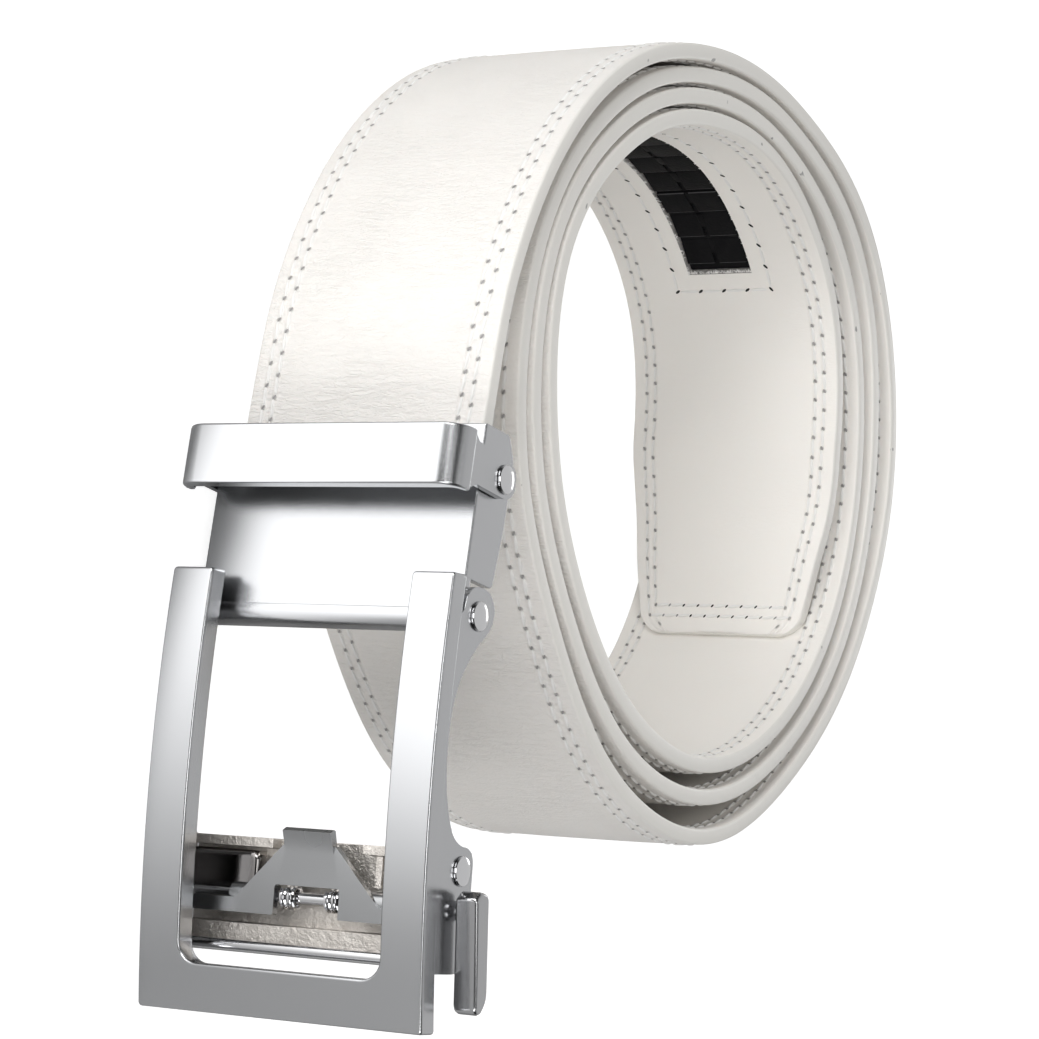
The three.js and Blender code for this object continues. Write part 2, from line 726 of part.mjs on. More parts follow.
const leverFrom = earOuter + 0.75;
const leverOutline = [
  [-2.2, -33.3, 0.3], [-1.1, -32.4, 0.3], [0.5, -32.6, 0.5],
  [1.9, -45.2, 1.2], [0.4, -46.9, 0.8], [-0.8, -46.6, 0.6],
];
const leverRim = roundedShape(leverOutline).getPoints(4).slice(0, -1);
if (THREE.ShapeUtils.isClockWise(leverRim)) leverRim.reverse();
const leverMiddle = new THREE.Vector2(-0.1, -39.6);
const leverRings = [
  { level: 0, inset: 0.5 },
  { level: 0.15, inset: 0.2 },
  { level: 0.5, inset: 0 },
  { level: LEVER_WIDTH - 0.5, inset: 0 },
  { level: LEVER_WIDTH - 0.15, inset: 0.2 },
  { level: LEVER_WIDTH, inset: 0.5 },
].map(({ level, inset }) => leverRim.map((p) => new THREE.Vector3(
  leverMiddle.x + (p.x - leverMiddle.x) * (1 - inset / 1.9),
  leverMiddle.y + (p.y - leverMiddle.y) * (1 - inset / 7.2),
  leverFrom + level,
)));
const leverBody = loft(leverRings);
const leverSolid = join(leverBody, rod(-0.2, -34.9, 1.3, pawlPinTop + GAP, leverFrom + 0.6));
addPiece('release_lever', placed(toGeometry(leverSolid), FRAME_TILT), 'polished');

// whole part, origin under its middle

const extent = new THREE.Box3().setFromObject(assembly);
const middle = extent.getCenter(new THREE.Vector3());
assembly.children.forEach((mesh) => mesh.geometry.translate(-middle.x, -middle.y, -extent.min.z));

export default assembly;
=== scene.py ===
# %% [markdown]
# A ratchet belt, coiled and lying on its side: a white leather strap with a toothed track in its tail,
# and a plated buckle made of a clamp plate, a swinging keeper, an open frame and a sprung pawl. The
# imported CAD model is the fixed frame. Everything below is dressed over it, in metres, and none of it
# is moved.

# %% Load the frame
import json
import math

import bmesh
import bpy
import numpy as np
from mathutils import Matrix, Vector


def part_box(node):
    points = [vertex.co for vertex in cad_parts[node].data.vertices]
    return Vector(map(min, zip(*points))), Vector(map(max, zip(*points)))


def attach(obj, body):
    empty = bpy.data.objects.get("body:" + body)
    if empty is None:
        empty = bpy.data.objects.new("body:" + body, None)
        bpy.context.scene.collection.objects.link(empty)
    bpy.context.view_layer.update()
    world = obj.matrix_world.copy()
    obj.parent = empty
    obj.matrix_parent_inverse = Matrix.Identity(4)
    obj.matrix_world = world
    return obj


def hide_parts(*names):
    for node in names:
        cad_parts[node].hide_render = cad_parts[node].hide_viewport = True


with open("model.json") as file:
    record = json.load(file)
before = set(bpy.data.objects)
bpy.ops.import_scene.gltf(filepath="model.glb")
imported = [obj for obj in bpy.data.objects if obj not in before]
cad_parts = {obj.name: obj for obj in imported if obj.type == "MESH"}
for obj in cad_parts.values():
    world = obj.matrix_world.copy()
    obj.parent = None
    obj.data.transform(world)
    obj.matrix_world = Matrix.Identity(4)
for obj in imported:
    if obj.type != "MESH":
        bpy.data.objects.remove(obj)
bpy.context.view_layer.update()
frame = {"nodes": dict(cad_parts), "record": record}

joint_place = {joint["name"]: joint["pos_m"] for joint in frame["record"]["behaviour"]["joints"]}
MM = 0.001

# %% [markdown]
# The camera comes first, because the view decides how much detail a piece needs. It looks along +X and
# 30 degrees down, with +Y up in the picture. A long lens from about 46 cm keeps the coil's ellipse round.

# %% Camera
CAMERA_PLACE = Vector((-382.97, -3.35, 230.9)) * MM
CAMERA_DROP = math.radians(30)
CAMERA_ROLL = math.radians(0.565)
LENS = 108.06
SENSOR = 36

view_line = Vector((math.cos(CAMERA_DROP), 0, -math.sin(CAMERA_DROP)))
level_up = Vector((0, 1, 0))
level_right = view_line.cross(level_up)
right = level_right * math.cos(CAMERA_ROLL) + level_up * math.sin(CAMERA_ROLL)
up = level_up * math.cos(CAMERA_ROLL) - level_right * math.sin(CAMERA_ROLL)
turn = Matrix((right, up, -view_line)).transposed().to_4x4()

camera_data = bpy.data.cameras.new("camera")
camera_data.lens = LENS
camera_data.sensor_width = SENSOR
camera_data.clip_start = 0.01
camera = bpy.data.objects.new("camera", camera_data)
camera.matrix_world = Matrix.Translation(CAMERA_PLACE) @ turn
bpy.context.collection.objects.link(camera)
bpy.context.scene.camera = camera

# %% [markdown]
# Floor, room, leather and metal all use shader nodes. These helpers make a group, a material or a
# node with what feeds it, and shorten the commonest nodes: a sum, a noise, and a ramp.


# %% Helpers for shader nodes
def new_group(name, inputs, outputs):
    """A shader node group with float or vector inputs {name: default} and outputs [name]."""
    group = bpy.data.node_groups.new(name, "ShaderNodeTree")
    for socket, default in inputs.items():
        kind = "NodeSocketVector" if default is None else "NodeSocketFloat"
        made = group.interface.new_socket(socket, in_out="INPUT", socket_type=kind)
        if default is not None:
            made.default_value = default
    for socket in outputs:
        group.interface.new_socket(socket, in_out="OUTPUT", socket_type="NodeSocketFloat")
    return group, group.nodes.new("NodeGroupInput"), group.nodes.new("NodeGroupOutput")


def new_material(name, colour, roughness, metallic=0.0):
    """A Principled material and its tree and shader."""
    material = bpy.data.materials.new(name)
    material.use_nodes = True
    shader = material.node_tree.nodes["Principled BSDF"]
    shader.inputs["Base Color"].default_value = (*colour, 1)
    shader.inputs["Roughness"].default_value = roughness
    shader.inputs["Metallic"].default_value = metallic
    return material, material.node_tree, shader


def feed(tree, source, socket):
    """Links a socket to a source, or gives it the source's value."""
    if isinstance(source, bpy.types.NodeSocket):
        tree.links.new(source, socket)
    else:
        socket.default_value = source


def add(tree, kind, operation=None, **sources):
    """Adds a node; a source is a value or a socket, and its name may end in a socket number."""
    node = tree.nodes.new(kind)
    if operation:
        node.operation = operation
    for key, source in sources.items():
        numbered = key[0] == "i" and key[1:].isdigit()
        feed(tree, source, node.inputs[int(key[1:]) if numbered else key])
    return node


def maths(tree, operation, first, second=0.0, third=0.0):
    """One Math node's output."""
    return add(tree, "ShaderNodeMath", operation, i0=first, i1=second, i2=third).outputs[0]


def noise(tree, place, scale, detail=2.0, **more):
    """A noise texture's grey value."""
    return add(tree, "ShaderNodeTexNoise", Vector=place, Scale=scale, Detail=detail, **more).outputs["Fac"]


def ramp(tree, value, low, high, at_low=0.0, at_high=1.0, smooth_steps=True):
    """A value between two others, as value goes from low to high."""
    node = add(tree, "ShaderNodeMapRange", Value=value)
    node.interpolation_type = "SMOOTHSTEP" if smooth_steps else "LINEAR"
    for socket, number in zip(list(node.inputs)[1:5], (low, high, at_low, at_high)):
        socket.default_value = number
    return node.outputs["Result"]


# %% [markdown]
# Nickel plate shows its surroundings more than itself, so the room matters as much as the metal. The
# floor glows differently for the camera, for soft light and for mirrors. The mirrored glow fades along
# two axes, which gives polished edges their dark lines, and the leather only sees the soft light.

# %% Floor, lights and room
FLOOR_SIZE = 6
CAMERA_GLOW = 0.85
SOFT_GLOW = 0.42
MIRROR_LOW = 0.2
MIRROR_HIGH = 2.1
MIRROR_SIDE = (-0.062, 0.004)
MIRROR_NEAR = (-0.068, -0.0795)
MIRROR_FAR = (-0.36, -0.2)

floor_mesh = bmesh.new()
bmesh.ops.create_grid(floor_mesh, x_segments=1, y_segments=1, size=FLOOR_SIZE / 2)
floor_data = bpy.data.meshes.new("floor")
floor_mesh.to_mesh(floor_data)
floor_mesh.free()
floor = bpy.data.objects.new("floor", floor_data)
bpy.context.collection.objects.link(floor)

floor_paint, floor_tree, floor_shader = new_material("floor_paint", (0.5, 0.5, 0.5), 1.0)
floor_shader.inputs["Specular IOR Level"].default_value = 0.0
floor_shader.inputs["Emission Color"].default_value = (1, 1, 1, 1)
floor_place = add(floor_tree, "ShaderNodeTexCoord").outputs["Object"]
floor_split = add(floor_tree, "ShaderNodeSeparateXYZ", Vector=floor_place)
floor_ray = add(floor_tree, "ShaderNodeLightPath")


def floor_band(axis, start, end):
    """A share that rises smoothly along one axis of the floor, from a start to an end in metres."""
    near, far = (0.0, 1.0) if start < end else (1.0, 0.0)
    return ramp(floor_tree, floor_split.outputs[axis], min(start, end), max(start, end), near, far)


pool = maths(floor_tree, "MULTIPLY", floor_band("X", *MIRROR_NEAR), floor_band("X", *MIRROR_FAR))
pool_tone = maths(floor_tree, "MULTIPLY_ADD", floor_band("Y", *MIRROR_SIDE), MIRROR_HIGH - MIRROR_LOW,
                  MIRROR_LOW)
floor_glow = 0.0
for ray, glow in (("Is Glossy Ray", maths(floor_tree, "MULTIPLY", pool_tone, pool)),
                  ("Is Camera Ray", CAMERA_GLOW), ("Is Diffuse Ray", SOFT_GLOW)):
    floor_glow = maths(floor_tree, "MULTIPLY_ADD", floor_ray.outputs[ray], glow, floor_glow)
floor_tree.links.new(floor_glow, floor_shader.inputs["Emission Strength"])
floor_data.materials.append(floor_paint)


def soft_light(name, place, target, width, power):
    """A square soft box at a place in metres, facing a target."""
    data = bpy.data.lights.new(name, "AREA")
    data.shape = "RECTANGLE"
    data.size = width
    data.size_y = width
    data.energy = power
    lamp = bpy.data.objects.new(name, data)
    lamp.location = place
    lamp.rotation_euler = (Vector(target) - Vector(place)).to_track_quat("-Z", "Y").to_euler()
    bpy.context.collection.objects.link(lamp)


coil_middle = (0, 0, 0.02)
soft_light("key_box", (-0.5, 0.55, 0.22), coil_middle, 0.4, 3.4)
soft_light("fill_box", (-0.55, -0.33, 0.22), coil_middle, 0.3, 1.6)
soft_light("front_box", (-0.5, 0.05, 0.42), coil_middle, 0.3, 0.75)
soft_light("rim_box", (0.3, 0.0, 0.1), (0.06, 0, 0.03), 0.1, 0.06)
soft_light("top_box", (-0.12, 0.04, 0.55), coil_middle, 0.2, 0.08)

ROOM_BRIGHT_WAY = (0.866, 0.0, 0.5)
ROOM_DARK = 0.04
ROOM_BRIGHT = 0.74
room = bpy.data.worlds.new("room")
bpy.context.scene.world = room
room.use_nodes = True
room_tree = room.node_tree
background = room_tree.nodes["Background"]
room_place = add(room_tree, "ShaderNodeTexCoord").outputs["Generated"]
room_side = add(room_tree, "ShaderNodeVectorMath", "DOT_PRODUCT", i0=room_place, i1=ROOM_BRIGHT_WAY)
room_glow = ramp(room_tree, room_side.outputs["Value"], 0.2, 0.85, ROOM_DARK, ROOM_BRIGHT)
room_tree.links.new(room_glow, background.inputs["Strength"])
background.inputs["Color"].default_value = (1, 1, 1, 1)
bpy.context.scene.view_settings.view_transform = "Standard"

# %% [markdown]
# Corrected leather has a tight pebble and fine creases that run across the strap, because it is bent
# one way only. Both are read from the strap's flat coordinates, so the grain follows the coil.

# %% Shader group: leather grain
grain, grain_in, grain_out = new_group(
    "leather_grain", {"Flat": None, "Crease": 1.0, "Pebble": 1.0}, ["Height", "Mottle"])
CREASE_SCALE = (1750, 420, 800)
PEBBLE_SCALE = (2600, 1700, 1800)
grain_place = grain_in.outputs["Flat"]
crease_place = add(grain, "ShaderNodeVectorMath", "MULTIPLY", i0=grain_place, i1=CREASE_SCALE)
crease_noise = noise(grain, crease_place.outputs[0], 1.0, 3.0, Roughness=0.6, Distortion=0.6)
crease_ridge = maths(grain, "ABSOLUTE", maths(grain, "SUBTRACT", crease_noise, 0.5))
crease_line = ramp(grain, crease_ridge, 0.0, 0.1, smooth_steps=False)
patch_noise = noise(grain, grain_place, 70.0)
patch = ramp(grain, patch_noise, 0.3, 0.7, 0.35, 1.0, smooth_steps=False)
crease_depth = maths(grain, "MULTIPLY", maths(grain, "SUBTRACT", 1.0, crease_line),
                     maths(grain, "MULTIPLY", patch, grain_in.outputs["Crease"]))
pebble_place = add(grain, "ShaderNodeVectorMath", "MULTIPLY", i0=grain_place, i1=PEBBLE_SCALE)
pebble_cell = add(grain, "ShaderNodeTexVoronoi", Vector=pebble_place.outputs[0], Scale=1.0)
pebble_height = maths(grain, "MULTIPLY", pebble_cell.outputs["Distance"], grain_in.outputs["Pebble"])
grain_height = maths(grain, "SUBTRACT", maths(grain, "MULTIPLY", pebble_height, -0.35), crease_depth)
grain.links.new(grain_height, grain_out.inputs["Height"])
grain.links.new(patch_noise, grain_out.inputs["Mottle"])

# %% [markdown]
# A lockstitch pulls the leather down, so each row lies in a shallow groove with a pucker at every
# needle hole. The rows are straight in the flat strap, so a group works both out from its coordinates.

# %% Shader group: stitch groove
STRAP_WIDTH = 35.0
HALF_STRAP = STRAP_WIDTH / 2
STITCH_ROWS = (2.2, 3.7)
STITCH_PITCH = 2.95
ROW_SHIFT = (0.0, 0.45)

groove, groove_in, groove_out = new_group(
    "stitch_groove", {"Flat": None, "From Edge": STITCH_ROWS[0] * MM, "Shift": 0.0}, ["Height", "Hole"])
flat_split = add(groove, "ShaderNodeSeparateXYZ", Vector=groove_in.outputs["Flat"])
across = maths(groove, "ABSOLUTE", flat_split.outputs["Y"])
row_place = maths(groove, "SUBTRACT", HALF_STRAP * MM, groove_in.outputs["From Edge"])
off_row = maths(groove, "ABSOLUTE", maths(groove, "SUBTRACT", across, row_place))
along = maths(groove, "SUBTRACT", maths(groove, "DIVIDE", flat_split.outputs["X"], STITCH_PITCH * MM),
              groove_in.outputs["Shift"])
off_hole = maths(groove, "MULTIPLY", maths(groove, "PINGPONG", along, 0.5), STITCH_PITCH * MM)
reach = maths(groove, "SQRT", maths(groove, "ADD", maths(groove, "POWER", off_hole, 2.0),
                                    maths(groove, "POWER", off_row, 2.0)))
# hole is a round mask at each needle hole; the leather sinks it in its bump and paints shade with it
hole = ramp(groove, reach, 0.12 * MM, 0.42 * MM, 1.0, 0.0)
dip = ramp(groove, off_row, 0.1 * MM, 0.6 * MM, 1.0, 0.0)
groove_height = maths(groove, "SUBTRACT", maths(groove, "MULTIPLY", dip, -0.45), hole)
groove.links.new(groove_height, groove_out.inputs["Height"])
groove.links.new(hole, groove_out.inputs["Hole"])

# %% [markdown]
# Plated metal is never perfectly even: a very fine speckle breaks the rim of each reflection, and
# handling leaves faint smears where it is a little smoother.

# %% Shader group: plating
plating, plating_in, plating_out = new_group(
    "plating", {"Place": None, "Speckle Scale": 9000.0, "Smear Scale": 60.0}, ["Height", "Smear"])
metal_place = plating_in.outputs["Place"]
speckle = noise(plating, metal_place, plating_in.outputs["Speckle Scale"])
smear = noise(plating, metal_place, plating_in.outputs["Smear Scale"], 3.0, Roughness=0.6)
plating.links.new(speckle, plating_out.inputs["Height"])
plating.links.new(smear, plating_out.inputs["Smear"])

# %% [markdown]
# Every finish below is a Principled shader whose colour, roughness or normal comes from these groups.


# %% Helpers for materials
def place_group(tree, group, **values):
    """A node group placed in a material, with its own values."""
    node = tree.nodes.new("ShaderNodeGroup")
    node.node_tree = group
    for key, value in values.items():
        feed(tree, value, node.inputs[key.replace("_", " ")])
    return node


def flat_place(tree):
    """The strap's flat coordinates: along, across and off its middle surface, in metres."""
    node = tree.nodes.new("ShaderNodeAttribute")
    node.attribute_name = "flat"
    return node.outputs["Vector"]


def object_place(tree):
    """Object coordinates."""
    return tree.nodes.new("ShaderNodeTexCoord").outputs["Object"]


def paint(tree, shader, colour):
    """Feeds a colour to the shader."""
    tree.links.new(colour, shader.inputs["Base Color"])


def bump(tree, shader, height, distance):
    """Feeds a height to the shader's normal; distance is in metres."""
    node = add(tree, "ShaderNodeBump", Height=height, Strength=1.0, Distance=distance)
    tree.links.new(node.outputs["Normal"], shader.inputs["Normal"])


def mix_colour(tree, factor, first, second):
    """A colour between two colours, or colour sockets, by a mask."""
    node = tree.nodes.new("ShaderNodeMix")
    node.data_type = "RGBA"
    tree.links.new(factor, node.inputs["Factor"])
    for socket, source in ((node.inputs[6], first), (node.inputs[7], second)):
        feed(tree, source if isinstance(source, bpy.types.NodeSocket) else (*source, 1), socket)
    return node.outputs[2]


# %% [markdown]
# The strap's outer leather is a warm white with the strongest grain, its lining is smoother, and its
# cut edges carry a thick cream paint. A faint subsurface share softens the leather's shadows. Both
# leathers are painted darker at each needle hole, as painted shade.


# %% Strap materials
MOTTLE = 0.975
HOLE_SHADE = 0.8
STITCH_PULL = 0.22


def stitched_leather(name, light, dark, crease, pebble, roughness, depth):
    """Leather with grain, mottling, puckered stitch rows and painted shade at each needle hole."""
    material, tree, shader = new_material(name, light, roughness)
    place = flat_place(tree)
    fine = place_group(tree, grain, Flat=place, Crease=crease, Pebble=pebble)
    rows = [place_group(tree, groove, Flat=place, From_Edge=row * MM, Shift=shift)
            for row, shift in zip(STITCH_ROWS, ROW_SHIFT)]
    holes = maths(tree, "MAXIMUM", rows[0].outputs["Hole"], rows[1].outputs["Hole"])
    pulls = maths(tree, "ADD", rows[0].outputs["Height"], rows[1].outputs["Height"])
    mottled = mix_colour(tree, fine.outputs["Mottle"], light, [part * MOTTLE for part in light])
    # the colour is darkened at each needle hole towards the dark colour: painted shade
    paint(tree, shader, mix_colour(tree, maths(tree, "MULTIPLY", holes, HOLE_SHADE), mottled, dark))
    relief = maths(tree, "ADD", maths(tree, "MULTIPLY", fine.outputs["Height"], depth),
                   maths(tree, "MULTIPLY", pulls, STITCH_PULL))
    bump(tree, shader, relief, 1.0 * MM)
    shader.inputs["Subsurface Weight"].default_value = 0.06
    shader.inputs["Subsurface Radius"].default_value = (0.0016, 0.0012, 0.001)
    return material


OUTER_WHITE = (0.85, 0.825, 0.79)
# the dark colours below are painted shade that each leather takes at its needle holes
OUTER_HOLE_SHADE = (0.5, 0.48, 0.46)
LINING_WHITE = (0.92, 0.893, 0.85)
LINING_HOLE_SHADE = (0.36, 0.345, 0.33)
leather_outer = stitched_leather("leather_outer", OUTER_WHITE, OUTER_HOLE_SHADE, 0.8, 1.0, 0.5, 0.07)
leather_lining = stitched_leather("leather_lining", LINING_WHITE, LINING_HOLE_SHADE, 0.3, 0.7, 0.55, 0.045)

# suede shows where a knife has cut through the lining
cut_suede, suede_tree, suede_shader = new_material("cut_suede", (0.42, 0.405, 0.39), 0.9)
suede_fuzz = noise(suede_tree, flat_place(suede_tree), 1500.0, 4.0)
paint(suede_tree, suede_shader, mix_colour(suede_tree, suede_fuzz, (0.34, 0.325, 0.31), (0.72, 0.7, 0.68)))
bump(suede_tree, suede_shader, suede_fuzz, 0.3 * MM)

EDGE_CREAM = (0.82, 0.803, 0.76)
edge_paint, edge_tree, edge_shader = new_material("edge_paint", EDGE_CREAM, 0.38)
edge_place = flat_place(edge_tree)
edge_speck = ramp(edge_tree, noise(edge_tree, edge_place, 420.0, 1.0), 0.76, 0.79, smooth_steps=False)
paint(edge_tree, edge_shader, mix_colour(edge_tree, edge_speck, EDGE_CREAM, (0.35, 0.34, 0.33)))
bump(edge_tree, edge_shader, noise(edge_tree, edge_place, 260.0), 0.12 * MM)

thread, thread_tree, thread_shader = new_material("thread", (0.86, 0.85, 0.83), 0.62)
thread_twist = add(thread_tree, "ShaderNodeTexWave", Vector=flat_place(thread_tree), Scale=420.0)
thread_twist.bands_direction = "DIAGONAL"
bump(thread_tree, thread_shader, thread_twist.outputs["Fac"], 0.05 * MM)

# The needle holes are dark discs laid just over the leather: painted shade where each hole is.
needle_hole_shade, hole_tree, hole_shader = new_material("needle_hole_shade", (0.16, 0.155, 0.15), 0.9)
hole_place = flat_place(hole_tree)
hole_split = add(hole_tree, "ShaderNodeSeparateXYZ", Vector=hole_place)
hole_side = maths(hole_tree, "ABSOLUTE", hole_split.outputs["Y"])
# Holes in the window's box row are near black, and holes in the edge rows a noisy grey; both are painted
# shade.
edge_row = maths(hole_tree, "GREATER_THAN", hole_side, 9 * MM)
hole_noise = noise(hole_tree, hole_place, 900.0)
edge_hole_shade = mix_colour(hole_tree, hole_noise, (0.2, 0.195, 0.19), (0.46, 0.45, 0.44))
paint(hole_tree, hole_shader, mix_colour(hole_tree, edge_row, (0.03, 0.029, 0.028), edge_hole_shade))


def moulded(name, dark, light, roughness, shine):
    """Black moulded plastic with a fine grain and a little dust."""
    material, tree, shader = new_material(name, dark, roughness)
    shader.inputs["Specular IOR Level"].default_value = shine
    place = flat_place(tree)
    paint(tree, shader, mix_colour(tree, noise(tree, place, 240.0, 3.0), dark, light))
    bump(tree, shader, noise(tree, place, 2600.0, 3.0), 0.06 * MM)
    return material


rubber = moulded("track_rubber", (0.005, 0.005, 0.006), (0.010, 0.010, 0.011), 0.5, 0.08)
# the lighter rubber is a painted highlight for the teeth's ridge faces
ridge_highlight_rubber = moulded("ridge_highlight_rubber", (0.05, 0.051, 0.053), (0.1, 0.1, 0.104), 0.35, 0.3)

# %% [markdown]
# Satin nickel is blasted before plating, so it scatters a little. Polished nickel on the pins, springs
# and lever is nearly a mirror. The pawl's housing has the uneven skin that its mould left.


# %% Metal materials
def plated(name, colour, roughness, speckle_depth, smear_share, speckle_scale=9000.0):
    """Plated metal with a fine speckle and faint smears."""
    material, tree, shader = new_material(name, colour, roughness, 1.0)
    skin = place_group(tree, plating, Place=object_place(tree), Speckle_Scale=speckle_scale,
                       Smear_Scale=70.0)
    spread = maths(tree, "MULTIPLY_ADD", skin.outputs["Smear"], smear_share, roughness - smear_share / 2)
    tree.links.new(spread, shader.inputs["Roughness"])
    bump(tree, shader, skin.outputs["Height"], speckle_depth * MM)
    return material


satin = plated("satin_nickel", (0.47, 0.475, 0.485), 0.22, 0.010, 0.08)
steel = plated("pawl_steel", (0.33, 0.335, 0.34), 0.26, 0.012, 0.08)
polished = plated("polished_nickel", (0.62, 0.62, 0.63), 0.10, 0.003, 0.06)
bright_cast = plated("lever_nickel", (0.42, 0.422, 0.43), 0.16, 0.002, 0.06)
dark_polish = plated("dark_nickel", (0.22, 0.21, 0.205), 0.09, 0.006, 0.06, 3000.0)

cast, cast_tree, cast_shader = new_material("cast_nickel", (0.62, 0.585, 0.545), 0.4, 1.0)
cast_place = object_place(cast_tree)
cast_tone = noise(cast_tree, cast_place, 420.0, 3.0)
paint(cast_tree, cast_shader, mix_colour(cast_tree, cast_tone, (0.5, 0.465, 0.43), (0.86, 0.82, 0.77)))
bump(cast_tree, cast_shader, noise(cast_tree, cast_place, 1300.0, 4.0, Roughness=0.7), 0.22 * MM)

# %% [markdown]
# A strap is cut, stitched and painted flat, and only then rolled up, and this script does the same.
# Every strap piece is modelled flat in millimetres, with X along the strap, Y across it and Z off its
# middle surface, and then laid on the coil. The coil's route has a radius for each 30 degrees of the
# outer turn, and the slack between each turn and the next.

# %% The strap's route
STRAP_THICKNESS = 2.6
HALF_THICKNESS = STRAP_THICKNESS / 2
COIL_RADIUS = 60.0
TAIL_LENGTH = 28.4
TAIL_TIP_WIDTH = 26.6
TAIL_TAPER_LENGTH = 32.0
TAIL_CORNER = 3.6
TRACK_START = 58.0
TRACK_LENGTH = 140.0
TRACK_WIDTH = 10.8
TRACK_RECESS = 1.2
TRACK_PITCH = 5.3
GAP = 0.3
STRAP_PLAY = 0.4
SHEET = 1.2
EAR_THICKNESS = 1.0
HEAD_THICKNESS = 0.6
HEAD_RADIUS = 1.8
PIN_RADIUS = 1.1
PLATE_THICKNESS = 1.4
PLATE_HEIGHT = 23.4
CLAMP_TILT = -14.0
FRAME_TILT = -7.0
KNUCKLE_WALL = 0.9
REACH_PER_RISE = 1.73
HINGE_OUT = 1.158
HINGE_DOWN = 0.373
CLAMP_RISES = (5.5, 11, 17.5, PLATE_HEIGHT + 0.6)

plate_half = HALF_STRAP + STRAP_PLAY + SHEET
ear_inner = plate_half + GAP
ear_outer = ear_inner + EAR_THICKNESS
head_outer = ear_outer + HEAD_THICKNESS
edge_rise = head_outer - HALF_STRAP
clamp_reach = edge_rise * REACH_PER_RISE
knuckle_radius = PIN_RADIUS + KNUCKLE_WALL

OUTER_TURN = [1.028, 0.973, 0.935, 0.912, 0.957, 1.065, 1.058, 0.978, 0.917, 0.92, 0.893, 0.86]
LOOSENESS = [
    1.85, 0.19, 0.15, 0.15, 0.31, 0.92, 1.77, 0.92, 0.69, 1.12, 0.92, 0.54,
    0.5, 0.15, 0.15, 0.15, 0.5, 1.27, 1.15, 0.92, 0.58, 0.73, 0.81, 0.58,
    0.69, 0.19, 0.15, 0.15, 0.31, 1.6, 2.3, 2.3,
]
ROW_ANGLE = 30
COIL_END = 1260
EASE_ANGLE = 120
TAIL_ROWS = [(0, 0.15), (-0.018, 0.37), (-0.077, 0.59), (-0.12, 0.81), (-0.158, 1)]

row_radius = [share * COIL_RADIUS for share in OUTER_TURN]
for slack in LOOSENESS:
    row_radius.append(row_radius[-len(OUTER_TURN)] - STRAP_THICKNESS * (1 + slack))


def coil_radius(angle):
    """The middle surface's radius at an angle from the clamp, in degrees."""
    row = min(int(angle // ROW_ANGLE), len(row_radius) - 3)
    t = angle / ROW_ANGLE - row
    before, a, b, after = row_radius[max(row - 1, 0)], *row_radius[row:row + 3]
    return (a * (2 * t ** 3 - 3 * t ** 2 + 1) + (b - before) / 2 * (t ** 3 - 2 * t ** 2 + t)
            + b * (3 * t ** 2 - 2 * t ** 3) + (after - a) / 2 * (t ** 3 - t ** 2))


def smooth(value, low, high):
    """0 below low, 1 above high, and a smooth step between."""
    share = np.clip((value - low) / (high - low), 0, 1)
    return share * share * (3 - 2 * share)


hinge = Vector((-COIL_RADIUS * HINGE_OUT - clamp_reach, -COIL_RADIUS * HINGE_DOWN, 0))
strap_in_clamp = -knuckle_radius + PLATE_THICKNESS + GAP + HALF_THICKNESS

route = []
for rise in CLAMP_RISES:
    point = Matrix.Rotation(math.radians(CLAMP_TILT), 3, "Z") @ Vector((strap_in_clamp, rise, 0)) + hinge
    route.append((point.x, point.y, edge_rise))
for angle in np.arange(15, COIL_END + 1, 7.5):
    ease = 1 - smooth(angle, 0, EASE_ANGLE)
    radius = coil_radius(angle)
    around = math.radians(180 - angle)
    x = radius * math.cos(around) - clamp_reach * ease
    route.append((x, radius * math.sin(around), edge_rise * ease))
tail_root = route[-1]
for out, down in TAIL_ROWS:
    route.append((tail_root[0] + TAIL_LENGTH * out, tail_root[1] - TAIL_LENGTH * down, 0))
route = np.array(route)

# %% [markdown]
# A centripetal Catmull-Rom spline gives a smooth curve through
# those points. It is sampled finely and then read by the distance along it.

# %% Smooth route, read by distance
SAMPLES = 60


def spline(points):
    """Fine samples of a centripetal Catmull-Rom curve through the points."""
    padded = np.vstack([2 * points[0] - points[1], points, 2 * points[-1] - points[-2]])
    share = np.linspace(0, 1, SAMPLES, endpoint=False)[:, None]
    samples = []
    for p0, p1, p2, p3 in zip(padded, padded[1:], padded[2:], padded[3:]):
        d0, d1, d2 = [np.linalg.norm(b - a) ** 0.5 for a, b in ((p0, p1), (p1, p2), (p2, p3))]
        t1 = ((p1 - p0) / d0 - (p2 - p0) / (d0 + d1) + (p2 - p1) / d1) * d1
        t2 = ((p2 - p1) / d1 - (p3 - p1) / (d1 + d2) + (p3 - p2) / d2) * d1
        samples.append(p1 + t1 * share + (-3 * p1 + 3 * p2 - 2 * t1 - t2) * share ** 2
                       + (2 * p1 - 2 * p2 + t1 + t2) * share ** 3)
    return np.vstack(samples + [points[-1:]])


fine_route = spline(route)
steps = np.linalg.norm(np.diff(fine_route, axis=0), axis=1)
distance = np.concatenate([[0], np.cumsum(steps)])
strap_length = distance[-1]
heading = np.gradient(fine_route, distance, axis=0)
outward = np.stack([-heading[:, 1], heading[:, 0]], axis=1)
outward /= np.linalg.norm(outward, axis=1)[:, None]

strap_high = Vector(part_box("strap")[1]) / MM
skin = fine_route[:, :2] + outward * HALF_THICKNESS
shift = np.array([strap_high.x - skin[:, 0].max(), strap_high.y - skin[:, 1].max()])
print("strap length in mm", round(strap_length, 1), "route moved by", shift.round(2))

# %% [markdown]
# The leather is a little crowned on its outer face, flat in the middle of its lining, and narrower at
# the tip of the tail. Laying a piece on the coil also stores its flat coordinates for the materials.

# %% Laying flat pieces on the coil
RIM = 1.1
TAPER_EASE = 0.6
OUTER_CROWN = 0.15
INNER_CROWN = 0.12


